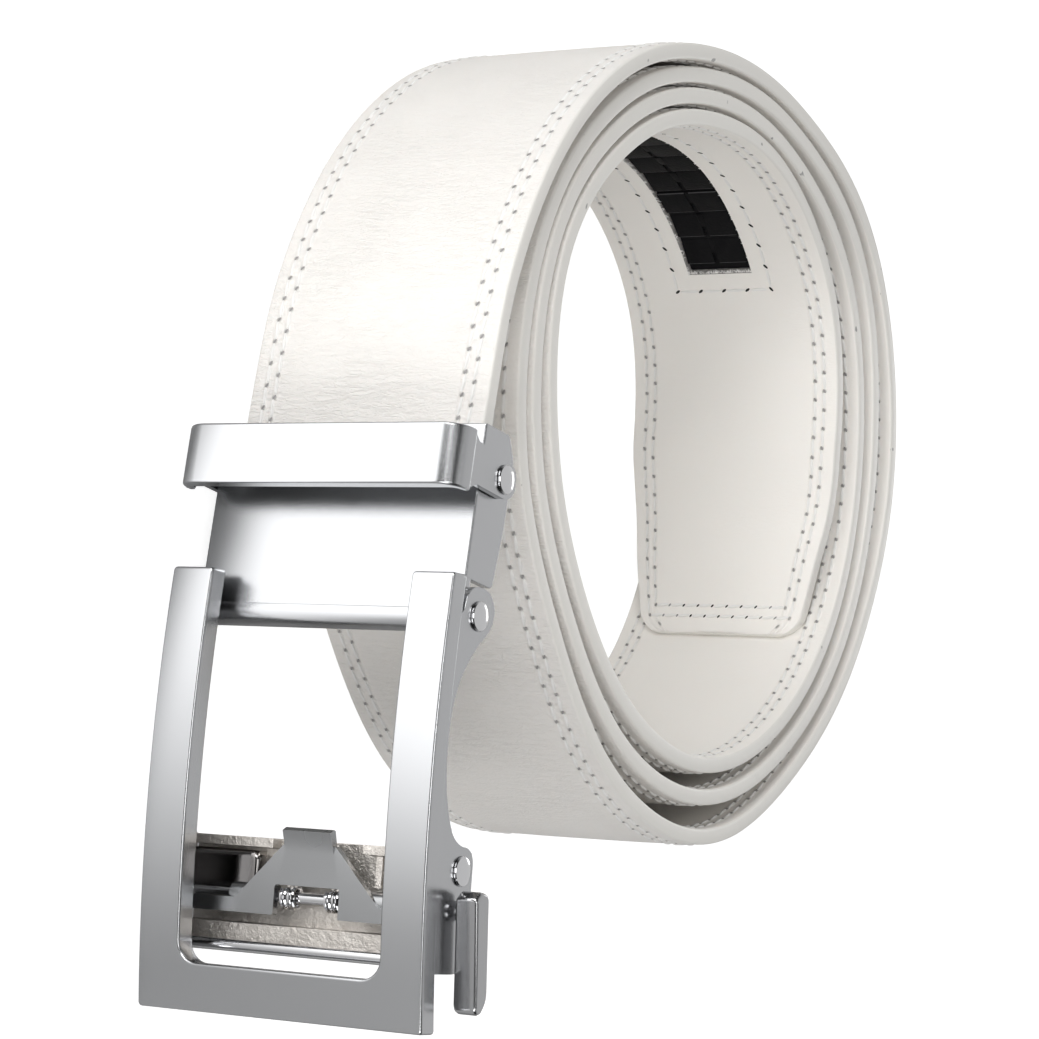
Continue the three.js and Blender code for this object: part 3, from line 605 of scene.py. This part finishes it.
def half_width(s):
    """Half of the strap's width at a distance s from its cut end."""
    from_tip = strap_length - s
    tip_half = TAIL_TIP_WIDTH / 2
    base = smooth(0, -TAIL_TAPER_LENGTH * TAPER_EASE, TAIL_TAPER_LENGTH)
    taper = smooth(from_tip, -TAIL_TAPER_LENGTH * TAPER_EASE, TAIL_TAPER_LENGTH)
    half = tip_half + (HALF_STRAP - tip_half) * (taper - base) / (1 - base)
    rest = np.clip(TAIL_CORNER - from_tip, 0, TAIL_CORNER)
    return half - TAIL_CORNER + np.sqrt(np.maximum(TAIL_CORNER ** 2 - rest ** 2, 0.01))


def outer_height(t):
    """The outer face's height off the middle surface."""
    return HALF_THICKNESS * (1 - OUTER_CROWN * np.clip(np.abs(t) / (HALF_STRAP - RIM), 0, 1) ** 3)


def inner_height(t):
    """The lining's height off the middle surface."""
    flat_half = TRACK_WIDTH / 2
    share = np.clip((np.abs(t) - flat_half) / (HALF_STRAP - RIM - flat_half), 0, 1)
    return HALF_THICKNESS * (1 - INNER_CROWN * share)


def lay_points(flat, face):
    """Flat points in mm to points on the coil in metres. A face's Z counts from that face, outwards."""
    s, t, z = flat.T
    if face == "outer":
        off = outer_height(t) + z
    elif face == "inner":
        off = -inner_height(t) - z
    else:
        off = np.where(z > 0, z * outer_height(t), z * inner_height(t)) / HALF_THICKNESS
    s = np.clip(s, 0, strap_length)
    level = np.interp(s, distance, fine_route[:, 2]) + HALF_STRAP + t * half_width(s) / HALF_STRAP
    x = np.interp(s, distance, fine_route[:, 0]) + np.interp(s, distance, outward[:, 0]) * off + shift[0]
    y = np.interp(s, distance, fine_route[:, 1]) + np.interp(s, distance, outward[:, 1]) * off + shift[1]
    return np.stack([x, y, level], axis=1) * MM


def finish_piece(bm, name, materials, body, replaced=(), smooth_angle=40, level_faces=True):
    """Turns a bmesh in metres into a piece that rides on a body; level_faces keeps flat metal flat."""
    mesh = bpy.data.meshes.new(name)
    bm.to_mesh(mesh)
    bm.free()
    for material in materials:
        mesh.materials.append(material)
    mesh.shade_smooth()
    mesh.set_sharp_from_angle(angle=math.radians(smooth_angle))
    piece = bpy.data.objects.new(name, mesh)
    bpy.context.collection.objects.link(piece)
    if level_faces:
        weighted = piece.modifiers.new("level_faces", "WEIGHTED_NORMAL")
        weighted.keep_sharp = True
        weighted.weight = 100
    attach(piece, body)
    if replaced:
        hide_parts(*replaced)
    return piece


def finish_laid(bm, name, face, materials, replaced=(), smooth_angle=40):
    """Lays a flat bmesh on the coil and finishes it as a piece of the strap."""
    if face == "inner":
        bmesh.ops.reverse_faces(bm, faces=bm.faces)
    piece = finish_piece(bm, name, materials, "strap_and_clamp", replaced, smooth_angle, False)
    mesh = piece.data
    flat = np.empty(len(mesh.vertices) * 3)
    mesh.vertices.foreach_get("co", flat)
    flat = flat.reshape(-1, 3)
    stored = mesh.attributes.new("flat", "FLOAT_VECTOR", "POINT")
    stored.data.foreach_set("vector", (flat * MM).ravel())
    mesh.vertices.foreach_set("co", lay_points(flat, face).ravel())
    mesh.update()


# %% [markdown]
# The strap starts as one box of its real length, cut into even steps. Planes slice it along the rim and
# round the track's window, a small bevel rolls its edges over, and the window's faces are pushed in.

# %% Strap
STRAP_STEP = 2.0
EDGE_ROLL = 0.42
track_to = strap_length - TRACK_START
track_from = track_to - TRACK_LENGTH
WINDOW_LEAN = 0.3
WINDOW_STEP = 0.12
TIP_CUTS = (0.85, 0.72, 0.58, 0.45, 0.33, 0.22, 0.13, 0.06)
CROSS_CUTS = (9, 12.5, 15, 16.4)

strap_bm = bmesh.new()
bmesh.ops.create_cube(strap_bm, size=1)
bmesh.ops.scale(strap_bm, vec=(strap_length, STRAP_WIDTH, STRAP_THICKNESS), verts=strap_bm.verts)
bmesh.ops.translate(strap_bm, vec=(strap_length / 2, 0, 0), verts=strap_bm.verts)
long_edges = [e for e in strap_bm.edges if abs(e.verts[0].co.x - e.verts[1].co.x) > 1]
bmesh.ops.subdivide_edges(strap_bm, edges=long_edges, cuts=int(strap_length / STRAP_STEP),
                          use_grid_fill=True)


def slice_at(bm, place, normal):
    """Cuts the whole mesh at a plane, without removing anything."""
    bmesh.ops.bisect_plane(bm, geom=bm.verts[:] + bm.edges[:] + bm.faces[:], dist=1e-5,
                           plane_co=place, plane_no=normal)


for s in (track_from, track_from + WINDOW_LEAN, track_to - WINDOW_LEAN, track_to):
    slice_at(strap_bm, (s, 0, 0), (1, 0, 0))
for share in TIP_CUTS:
    slice_at(strap_bm, (strap_length - TAIL_CORNER * share, 0, 0), (1, 0, 0))
window_half = TRACK_WIDTH / 2
for t in (window_half, window_half - WINDOW_STEP, *CROSS_CUTS):
    slice_at(strap_bm, (0, t, 0), (0, 1, 0))
    slice_at(strap_bm, (0, -t, 0), (0, 1, 0))

corner_edges = [e for e in strap_bm.edges if len(e.link_faces) == 2 and e.calc_face_angle() > 1]
bmesh.ops.bevel(strap_bm, geom=corner_edges, offset=EDGE_ROLL, segments=3, profile=0.5, affect="EDGES",
                material=-1)


def inside_window(face):
    """True for a lining face within the track's window."""
    middle = face.calc_center_median()
    return (middle.z < -HALF_THICKNESS + 0.01 and abs(middle.y) < window_half - WINDOW_STEP
            and track_from + WINDOW_LEAN < middle.x < track_to - WINDOW_LEAN)


strap_paints = [leather_outer, leather_lining, edge_paint, cut_suede]
window_faces = [f for f in strap_bm.faces if inside_window(f)]
window_verts = {v for f in window_faces for v in f.verts}
bmesh.ops.translate(strap_bm, vec=(0, 0, TRACK_RECESS), verts=list(window_verts))
for face in strap_bm.faces:
    middle = face.calc_center_median()
    in_window = (abs(middle.y) < window_half + 0.05
                 and track_from - 0.1 < middle.x < track_to + 0.1)
    on_rim = abs(middle.y) > HALF_STRAP - EDGE_ROLL * 0.6 or not 0.3 < middle.x < strap_length - 0.3
    if on_rim and abs(face.normal.z) < 0.9:
        face.material_index = strap_paints.index(edge_paint)
    elif in_window and -HALF_THICKNESS + 0.02 < middle.z < 0:
        face.material_index = strap_paints.index(cut_suede)
    elif middle.z < 0:
        face.material_index = strap_paints.index(leather_lining)
finish_laid(strap_bm, "strap_leather", "body", strap_paints, ("strap",), 50)

# %% [markdown]
# A stitch is a small sphere stretched along its row and sunk by half, with a slanted dark slit of painted
# shade for its needle hole, and a spin of no angle repeats both along the row. Two rows run along each edge
# of both faces and across the tip of the tail, and a single row boxes in the window.

# %% Stitches
STITCH_RADIUS = 0.27
STITCH_REACH = 0.43
STITCH_SQUASH = 0.85
HOLE_LENGTH = 0.36
HOLE_WIDTH = 0.16
HOLE_SLANT = 35


def merge(*parts):
    """Several bmeshes as one."""
    whole = bmesh.new()
    for part in parts:
        holder = bpy.data.meshes.new("holder")
        part.to_mesh(holder)
        part.free()
        whole.from_mesh(holder)
        bpy.data.meshes.remove(holder)
    return whole


def repeat(bm, step, number):
    """Everything in a bmesh, repeated to a number of copies by a spin of no angle."""
    bmesh.ops.spin(bm, geom=bm.verts[:] + bm.edges[:] + bm.faces[:], cent=(0, 0, 0), axis=(0, 0, 1),
                   angle=0, dvec=step, steps=number - 1, use_duplicate=True)


def sew_run(start, step, number, lean, slit_size):
    """Threads and holes for a run of stitches, made in two rounds of copies because that is quicker."""
    threads = bmesh.new()
    heading_angle = math.atan2(step.y, step.x)
    lie = Matrix.Translation(start + step / 2) @ Matrix.Rotation(heading_angle + math.radians(lean), 4, "Z")
    size = Matrix.Diagonal((step.length * STITCH_REACH, STITCH_RADIUS, STITCH_RADIUS * STITCH_SQUASH, 1))
    bmesh.ops.create_uvsphere(threads, u_segments=6, v_segments=5, radius=1,
                              matrix=lie @ size @ Matrix.Rotation(math.pi / 2, 4, "Y"))
    holes = bmesh.new()
    slit = (Matrix.Translation(start + Vector((0, 0, 0.02)))
            @ Matrix.Rotation(heading_angle + math.radians(HOLE_SLANT), 4, "Z")
            @ Matrix.Diagonal((HOLE_LENGTH * slit_size, HOLE_WIDTH * slit_size, 1, 1)))
    bmesh.ops.create_circle(holes, cap_ends=True, segments=8, radius=1, matrix=slit)
    block = max(1, round(number ** 0.5))
    for bm in (threads, holes):
        repeat(bm, step, block)
        repeat(bm, step * block, number // block)
    rest = number % block
    if rest:
        more = sew_run(start + step * (number - rest), step, rest, lean, slit_size)
        return merge(threads, more[0]), merge(holes, more[1])
    return threads, holes


def sew(rows, start, direction, pitch, number, lean=5.0, slit_size=1.0):
    """Adds a straight row of stitches, from a start in the flat strap, to a list of rows."""
    step = Vector((*direction, 0)).normalized() * pitch
    rows.append(sew_run(Vector((*start, 0)), step, number, lean, slit_size))


def sew_edges(rows):
    """Two rows along each edge, joined across the tail's tip."""
    for row, row_shift in zip(STITCH_ROWS, ROW_SHIFT):
        row_half = HALF_STRAP - row
        count = int((strap_length - row - row_shift * STITCH_PITCH) / STITCH_PITCH)
        for side in (1, -1):
            sew(rows, (row_shift * STITCH_PITCH, side * row_half), (1, 0), STITCH_PITCH, count, side * 5)
        tip_count = round(2 * row_half / STITCH_PITCH)
        last = (row_shift + count) * STITCH_PITCH
        sew(rows, (last, -row_half), (0, 1), 2 * row_half / tip_count, tip_count)


BOX_HALF = 8.0
BOX_MARGIN = 3.0
BOX_PITCH = 4.0
BOX_SLIT = 1.35

outer_rows = []
sew_edges(outer_rows)
lining_rows = []
sew_edges(lining_rows)
box_count = round((TRACK_LENGTH + 2 * BOX_MARGIN) / BOX_PITCH)
box_step = (TRACK_LENGTH + 2 * BOX_MARGIN) / box_count
box_start = track_from - BOX_MARGIN
box_end = track_to + BOX_MARGIN
end_count = round(2 * BOX_HALF / BOX_PITCH)
for corner, direction, pitch, count in (
        ((box_start, -BOX_HALF), (1, 0), box_step, box_count),
        ((box_end, -BOX_HALF), (0, 1), BOX_PITCH, end_count),
        ((box_end, BOX_HALF), (-1, 0), box_step, box_count),
        ((box_start, BOX_HALF), (0, -1), BOX_PITCH, end_count)):
    sew(lining_rows, corner, direction, pitch, count, 0, BOX_SLIT)

for face, rows in (("outer", outer_rows), ("inner", lining_rows)):
    finish_laid(merge(*[row[0] for row in rows]), "stitches_" + face, face, [thread])
    # the needle hole discs carry painted shade
    finish_laid(merge(*[row[1] for row in rows]), "hole_shade_discs_" + face, face, [needle_hole_shade])

# %% [markdown]
# The track is a moulded strip. Its teeth are low wedges across it, like courses of brick, and a short
# slot splits the middle of each one. The faces of each ridge take a lighter rubber, a painted highlight.

# %% Ratchet track
track_half = TRACK_WIDTH / 2 - 0.1 - GAP
track_floor = -(TRACK_RECESS - 0.2)
tooth_start = track_from + WINDOW_LEAN + GAP
teeth = int((TRACK_LENGTH - 2 * WINDOW_LEAN - 2 * GAP) / TRACK_PITCH)
SLOT_HALF = 0.35
SLOT_SHARE = 0.42
TOOTH_LEAD = 0.45
TOOTH_SPACE = 0.75
WEB_TOP = -0.58
TOOTH_FOOT = -0.8
TOOTH_TOP = -0.14
TOOTH_LOW_END = -0.5

track_bm = bmesh.new()


def track_block(s0, s1, t0, t1, low, high, lead=None, roll=0.12):
    """A bevelled block of the track; its top may start lower at its leading end."""
    made = bmesh.ops.create_cube(track_bm, size=1)["verts"]
    bmesh.ops.scale(track_bm, vec=(s1 - s0, t1 - t0, high - low), verts=made)
    bmesh.ops.translate(track_bm, vec=((s0 + s1) / 2, (t0 + t1) / 2, (low + high) / 2), verts=made)
    if lead is not None:
        for v in made:
            if v.co.x < s0 + 1e-6 and v.co.z > low + 1e-6:
                v.co.z = lead
    edges = list({e for v in made for e in v.link_edges})
    bmesh.ops.bevel(track_bm, geom=edges, offset=roll, segments=2, profile=0.5, affect="EDGES", material=-1)


web_end = track_to - WINDOW_LEAN - GAP
track_block(tooth_start, web_end, -track_half, track_half, track_floor, WEB_TOP, roll=0.05)
for tooth in range(teeth):
    begin = tooth_start + tooth * TRACK_PITCH + TOOTH_LEAD
    end = begin + TRACK_PITCH - TOOTH_SPACE
    slot_from = end - (end - begin) * SLOT_SHARE
    track_block(begin, end, -track_half, -SLOT_HALF, TOOTH_FOOT, TOOTH_TOP, TOOTH_LOW_END)
    track_block(begin, end, SLOT_HALF, track_half, TOOTH_FOOT, TOOTH_TOP, TOOTH_LOW_END)
    track_block(begin, slot_from, -SLOT_HALF - 0.2, SLOT_HALF + 0.2, TOOTH_FOOT, -0.3, -0.52)
web = [e for e in track_bm.edges if e.calc_length() > TRACK_PITCH * 2]
bmesh.ops.subdivide_edges(track_bm, edges=web, cuts=70, use_grid_fill=True)
# upper faces of the teeth that face along the strap get the lighter rubber: painted highlight lines on the
# ridges
for face in track_bm.faces:
    if abs(face.normal.x) > 0.3 and face.calc_center_median().z > -0.3:
        face.material_index = 1
finish_laid(track_bm, "track_strip", "inner", [rubber, ridge_highlight_rubber], ("ratchet_track",), 35)

# %% [markdown]
# The window is cut through the lining with a knife, so white fibres stick out over the black strip. Each
# is a thin cone, and a seeded random generator gives the same ones in every run.

# %% Frayed rim of the window
FIBRES = 420
FIBRE_ROOT = 0.09
FIBRE_TIP = 0.02
fray = np.random.default_rng(7)
fibre_bm = bmesh.new()
for number in range(FIBRES):
    side = (-1, -1, -1, 1, 0)[number % 5]
    if side:
        root = Vector((fray.uniform(track_from, track_to), side * (window_half - 0.1), -0.05))
        toward = math.atan2(-side, fray.uniform(-1.2, 1.2))
    else:
        root = Vector((track_to - 0.25, fray.uniform(-window_half, window_half), -0.05))
        toward = math.atan2(fray.uniform(-1.2, 1.2), -1)
    length = fray.uniform(0.25, 0.8) * (0.5 if side > 0 else 1)
    lie = (Matrix.Translation(root) @ Matrix.Rotation(toward, 4, "Z")
           @ Matrix.Rotation(math.pi / 2 - fray.uniform(-0.1, 0.35), 4, "Y")
           @ Matrix.Translation((0, 0, length / 2 - 0.1)))
    bmesh.ops.create_cone(fibre_bm, cap_ends=True, segments=4, radius1=FIBRE_ROOT, radius2=FIBRE_TIP,
                          depth=length, matrix=lie)
finish_laid(fibre_bm, "window_fibres", "inner", [thread])

# %% [markdown]
# The buckle's pieces are modelled upright, in millimetres from the hinge: X goes back towards the coil,
# Y up the belt and Z across it. A plate is an outline with its corners rounded by a vertex bevel,
# extruded to its thickness, with broken edges to catch the light.

# %% Helpers for plates and turned pins
SHARP_ANGLE = math.radians(40)
hinge_place = Vector(joint_place["frame_swing"])


def outline_face(bm, corners, plane, level):
    """A face from rows of (a, b, radius). plane says which axes a and b run along."""
    lay = {
        "side": lambda a, b: (a, b, level),
        "front": lambda a, b: (level, a, b),
        "top": lambda a, b: (a, level, b),
    }[plane]
    verts = [bm.verts.new(lay(a, b)) for a, b, *_ in corners]
    bm.faces.new(verts)
    for v, row in zip(verts, corners):
        if len(row) > 2 and row[2] > 0:
            bmesh.ops.bevel(bm, geom=[v], offset=row[2], segments=8, profile=0.5, affect="VERTICES",
                            clamp_overlap=True, material=-1)
    return [f for f in bm.faces if len(f.verts) > 2][-1]


def plate(corners, plane, low, high, edge=0.2, segments=3):
    """A closed plate with broken edges, as a bmesh of its own."""
    bm = bmesh.new()
    face = outline_face(bm, corners, plane, low)
    grown = bmesh.ops.extrude_face_region(bm, geom=[face])["geom"]
    push = {"side": (0, 0, 1), "front": (1, 0, 0), "top": (0, 1, 0)}[plane]
    moved = [g for g in grown if isinstance(g, bmesh.types.BMVert)]
    bmesh.ops.translate(bm, vec=Vector(push) * (high - low), verts=moved)
    bmesh.ops.recalc_face_normals(bm, faces=bm.faces)
    break_edges(bm, edge, segments)
    return bm


def break_edges(bm, edge, segments=3):
    """Bevels every sharp edge."""
    if edge <= 0:
        return
    sharp = [e for e in bm.edges if len(e.link_faces) == 2 and e.calc_face_angle() > SHARP_ANGLE]
    bmesh.ops.bevel(bm, geom=sharp, offset=edge, segments=segments, profile=0.5, affect="EDGES",
                    clamp_overlap=True, material=-1)


def seat(bm, tilt):
    """Tilts a buckle piece about the hinge and puts it in place, in metres."""
    bmesh.ops.scale(bm, vec=(MM, MM, MM), verts=bm.verts)
    place = Matrix.Translation(hinge_place) @ Matrix.Rotation(math.radians(tilt), 4, "Z")
    bmesh.ops.transform(bm, matrix=place, verts=bm.verts)
    return bm


def finish_buckle(bm, tilt, name, material, body, node, smooth_angle=40):
    """Seats a buckle piece and finishes it in place of its CAD node."""
    finish_piece(seat(bm, tilt), name, [material], body, (node,), smooth_angle)


def turned(profile, x=0.0, y=0.0, steps=32):
    """A piece turned about a line along Z through (x, y), from rows of (radius, level)."""
    bm = bmesh.new()
    verts = [bm.verts.new((radius, 0, level)) for radius, level in profile]
    edges = [bm.edges.new(pair) for pair in zip(verts, verts[1:])]
    bmesh.ops.spin(bm, geom=verts + edges, cent=(0, 0, 0), axis=(0, 0, 1), angle=2 * math.pi, steps=steps,
                   use_merge=True)
    bmesh.ops.remove_doubles(bm, verts=bm.verts, dist=1e-4)
    bmesh.ops.translate(bm, vec=(x, y, 0), verts=bm.verts)
    bmesh.ops.recalc_face_normals(bm, faces=bm.faces)
    return bm


def dome(radius, low, high, steps=5):
    """Profile rows of a low domed head from its rim to its crown."""
    rows = [(radius, low), (radius, low + (high - low) * 0.35)]
    for i in range(1, steps + 1):
        bend = math.pi / 2 * i / steps
        rows.append((radius * math.cos(bend * 0.999) if i < steps else 0,
                     low + (high - low) * (0.35 + 0.65 * math.sin(bend))))
    return rows


# %% [markdown]
# The clamp plate is folded sheet: a flat front, two side flanges and a rolled knuckle for the hinge pin
# at its foot. Behind the strap's cut end sits a toothed jaw that bites into the leather.

# %% Clamp plate and jaw
FLANGE_DEPTH = 7.0
HIDDEN_STEP = 0.03
KNUCKLE_BORE = 1.2
KNUCKLE_ROLL = 0.15
plate_front = -knuckle_radius
flange_back = FLANGE_DEPTH - knuckle_radius
flange_rows = [
    (plate_front + 0.1, 4.3, 0), (flange_back - 0.6, 4.3, 0.6), (flange_back + 0.3, 12, 0),
    (flange_back + 0.5, PLATE_HEIGHT - 3, 0.4), (flange_back - 1.2, PLATE_HEIGHT, 0.4),
    (plate_front + 0.1, PLATE_HEIGHT, 0),
]
front_half = plate_half - HIDDEN_STEP
front_rows = [
    (0.4, -front_half, 0.3), (PLATE_HEIGHT, -front_half, 0.3),
    (PLATE_HEIGHT, front_half, 0.3), (0.4, front_half, 0.3),
]
knuckle_rows = [
    (KNUCKLE_BORE, -plate_half), (knuckle_radius - KNUCKLE_ROLL, -plate_half),
    (knuckle_radius, -plate_half + KNUCKLE_ROLL), (knuckle_radius, plate_half - KNUCKLE_ROLL),
    (knuckle_radius - KNUCKLE_ROLL, plate_half), (KNUCKLE_BORE, plate_half), (KNUCKLE_BORE, -plate_half),
]
clamp_bm = merge(
    plate(front_rows, "front", plate_front, plate_front + PLATE_THICKNESS, 0.25),
    plate(flange_rows, "side", plate_half - SHEET, plate_half, 0.18),
    plate(flange_rows, "side", -plate_half, -plate_half + SHEET, 0.18),
    turned(knuckle_rows, steps=40),
)
finish_buckle(clamp_bm, CLAMP_TILT, "clamp_front", satin, "strap_and_clamp", "clamp_plate")


def dressed_copy(node, name, material, body, edge=0.1, segments=2):
    """A CAD node's own shape, merged, with its sharp edges broken."""
    bm = bmesh.new()
    bm.from_mesh(frame["nodes"][node].data)
    bmesh.ops.scale(bm, vec=(1 / MM, 1 / MM, 1 / MM), verts=bm.verts)
    bmesh.ops.remove_doubles(bm, verts=bm.verts, dist=1e-3)
    bmesh.ops.dissolve_limit(bm, angle_limit=math.radians(0.4), verts=bm.verts, edges=bm.edges)
    break_edges(bm, edge, segments)
    bmesh.ops.scale(bm, vec=(MM, MM, MM), verts=bm.verts)
    finish_piece(bm, name, [material], body, (node,))


dressed_copy("clamp_jaw", "clamp_teeth", cast, "strap_and_clamp", 0.1)

# %% [markdown]
# The keeper is one bent bar: a flat front with well rounded corners, outlined in plan and pushed up to
# its height, and an arm at each side that swings on a rivet.

# %% Keeper
KEEPER_HEIGHT = 7.6
KEEPER_THICKNESS = 2.4
KEEPER_GAP = 5.2
KEEPER_RETURN = 3.9
keeper_pivot = (1.75, 17.3)
keeper_front = -knuckle_radius - KEEPER_GAP - KEEPER_THICKNESS
keeper_middle = keeper_pivot[1] + 0.4
keeper_low = keeper_middle - KEEPER_HEIGHT / 2
keeper_high = keeper_middle + KEEPER_HEIGHT / 2
keeper_back = keeper_front + KEEPER_RETURN
keeper_inside = keeper_front + KEEPER_THICKNESS
band_rows = [
    (keeper_back, -ear_outer, 0), (keeper_back, -ear_inner, 0), (keeper_inside, -ear_inner, 1.1),
    (keeper_inside, ear_inner, 1.1), (keeper_back, ear_inner, 0), (keeper_back, ear_outer, 0),
    (keeper_front, ear_outer, 3.2), (keeper_front, -ear_outer, 3.2),
]
pivot_x, pivot_y = keeper_pivot
arm_rows = [
    (keeper_back - 0.9, keeper_low, 0.1), (keeper_back + 1.2, pivot_y - 2.2, 0.4),
    (pivot_x + 0.4, pivot_y - 2.3, 0.6), (pivot_x + 2.7, pivot_y - 1.8, 1.5),
    (pivot_x + 2.7, pivot_y + 1.8, 1.5), (pivot_x + 0.4, pivot_y + 2.4, 0.6),
    (keeper_back + 0.6, pivot_y + 2.9, 0.2), (keeper_back - 0.9, keeper_high, 0.1),
]
keeper_bm = merge(
    plate(band_rows, "top", keeper_low, keeper_high, 0.35, 4),
    plate(arm_rows, "side", ear_inner, ear_outer - HIDDEN_STEP, 0.12),
    plate(arm_rows, "side", -ear_outer + HIDDEN_STEP, -ear_inner, 0.12),
)
finish_buckle(keeper_bm, CLAMP_TILT, "keeper_bar", satin, "keeper_body", "keeper")

# %% [markdown]
# Rivets and pins are turned: a few points of a profile are spun about their axis. Their heads are low
# domes, which show one small highlight each.


# %% Rivets and pins
HEAD_LIFT = 0.06
SHANK_STEP = 0.1
housing_pivot = (0.2, -30.2)
head_foot = ear_outer + HEAD_LIFT
head_rows = dome(HEAD_RADIUS, head_foot, head_outer)


def rivet_pair(name, body, place, tilt, shank_inner):
    """Two rivets, each with its head against the outside of an ear."""
    profile = [(0, shank_inner), (PIN_RADIUS, shank_inner), (PIN_RADIUS, head_foot)] + head_rows
    for end, side in (("_upper", 1), ("_lower", -1)):
        bm = turned([(radius, side * level) for radius, level in profile], *place)
        finish_buckle(bm, tilt, name + end + "_dressed", polished, body, name + end, 30)


rivet_pair("keeper_rivet", "strap_and_clamp", keeper_pivot, CLAMP_TILT, plate_half - SHEET + SHANK_STEP)
rivet_pair("housing_rivet", "frame_body", housing_pivot, FRAME_TILT, ear_inner - GAP + SHANK_STEP)

hinge_profile = [(radius, -level) for radius, level in reversed(head_rows)]
hinge_profile += [(PIN_RADIUS, -head_foot), (PIN_RADIUS, head_foot)] + head_rows
finish_buckle(turned(hinge_profile), FRAME_TILT, "hinge_pin_dressed", polished, "strap_and_clamp",
              "hinge_pin", 30)

# %% [markdown]
# The buckle's frame is a heavy open rectangle with a cheek at each side that carries the hinge pin and
# the pawl. The flat U is extruded, sliced into steps along its length and then bowed.

# %% Buckle frame
FRAME_LENGTH = 54.0
FRAME_THICKNESS = 3.0
FRAME_CROWN = 1.7
SIDE_BAR_WIDTH = 6.0
FOOT_BAR_WIDTH = 5.8
frame_top = 4.7
frame_foot = frame_top - FRAME_LENGTH
frame_middle = (frame_top + frame_foot) / 2
front_chord = -6.1
opening_half = ear_outer - SIDE_BAR_WIDTH
opening_foot = frame_foot + FOOT_BAR_WIDTH


def front_at(y):
    """The frame's front face: a shallow arc along its length."""
    return front_chord - FRAME_CROWN * (1 - ((y - frame_middle) / (FRAME_LENGTH / 2)) ** 2)


u_rows = [
    (frame_foot, -ear_outer, 0.5), (frame_top, -ear_outer, 0.5), (frame_top, -opening_half, 0.5),
    (opening_foot, -opening_half, 2.6), (opening_foot, opening_half, 2.6), (frame_top, opening_half, 0.5),
    (frame_top, ear_outer, 0.5), (frame_foot, ear_outer, 0.5),
]
u_bm = plate(u_rows, "front", 0, FRAME_THICKNESS, 0.38, 4)
for share in np.linspace(0.03, 0.97, 24):
    slice_at(u_bm, (0, frame_foot + FRAME_LENGTH * share, 0), (0, 1, 0))
for v in u_bm.verts:
    v.co.x += front_at(v.co.y)

LOBE_BACK = 2.9
CHEEK_STEP = 0.02
cheek_rows = [
    (front_at(-1) + 0.8, -1, 0), (-3.3, 0.4, 0.6), (-2.6, 2.9, 1.2), (0.4, 3.9, 2), (3.7, 2.4, 2),
    (3.8, -0.9, 1.6), (0.9, -3.1, 1.2), (-2.1, -6.2, 2), (-4.1, -10, 2),
    (front_at(-16) + FRAME_THICKNESS - 0.05, -14.5, 2),
    (front_at(-20) + FRAME_THICKNESS + 0.15, -19.5, 2),
    (-3.6, -23.6, 2), (-2.1, -26.3, 1.4), (0, -27.3, 0.8), (LOBE_BACK - 1, -27.4, 0.8),
    (LOBE_BACK, -28.6, 0.8), (LOBE_BACK, -40.4, 1.6), (0.9, -42.3, 1.4),
    (front_at(-42.3) + 0.8, -42.3, 0),
]
frame_bm = merge(
    u_bm,
    plate(cheek_rows, "side", ear_inner, ear_outer - CHEEK_STEP, 0.14),
    plate(cheek_rows, "side", -ear_outer + CHEEK_STEP, -ear_inner, 0.14),
)
finish_buckle(frame_bm, FRAME_TILT, "frame_bars", satin, "frame_body", "buckle_frame")

# %% [markdown]
# Behind the pawl sits a small die cast housing with a rough floor and one polished block. The pawl,
# its pin, springs and lever keep the CAD's own shapes; all but the springs have their sharp edges broken.

# %% Housing, rod, pawl and lever
dressed_copy("pawl_housing", "housing_cast", cast, "frame_body", 0.12)
BLOCK_LOW = -34.3
BLOCK_HIGH = -29.5
BLOCK_FRONT = -0.05
BLOCK_INNER = 8.3
block_rows = [
    (BLOCK_LOW, -ear_inner + GAP, 0.9), (BLOCK_HIGH, -ear_inner + GAP, 0.9),
    (BLOCK_HIGH, -BLOCK_INNER, 1.3), (BLOCK_LOW, -BLOCK_INNER, 0.9),
]
block_bm = plate(block_rows, "front", BLOCK_FRONT, 2.2, 0.8, 6)
finish_piece(seat(block_bm, FRAME_TILT), "housing_block", [dark_polish], "frame_body")
dressed_copy("foot_rod", "foot_rod_dressed", polished, "frame_body", 0.1)
dressed_copy("pawl", "pawl_plate", steel, "pawl_body", 0.24, 3)
for node, edge in (("pawl_pin", 0.08), ("spring_upper", 0), ("spring_lower", 0)):
    dressed_copy(node, node + "_dressed", polished, "pawl_body", edge)
dressed_copy("release_lever", "lever_dressed", bright_cast, "pawl_body", 0.1)
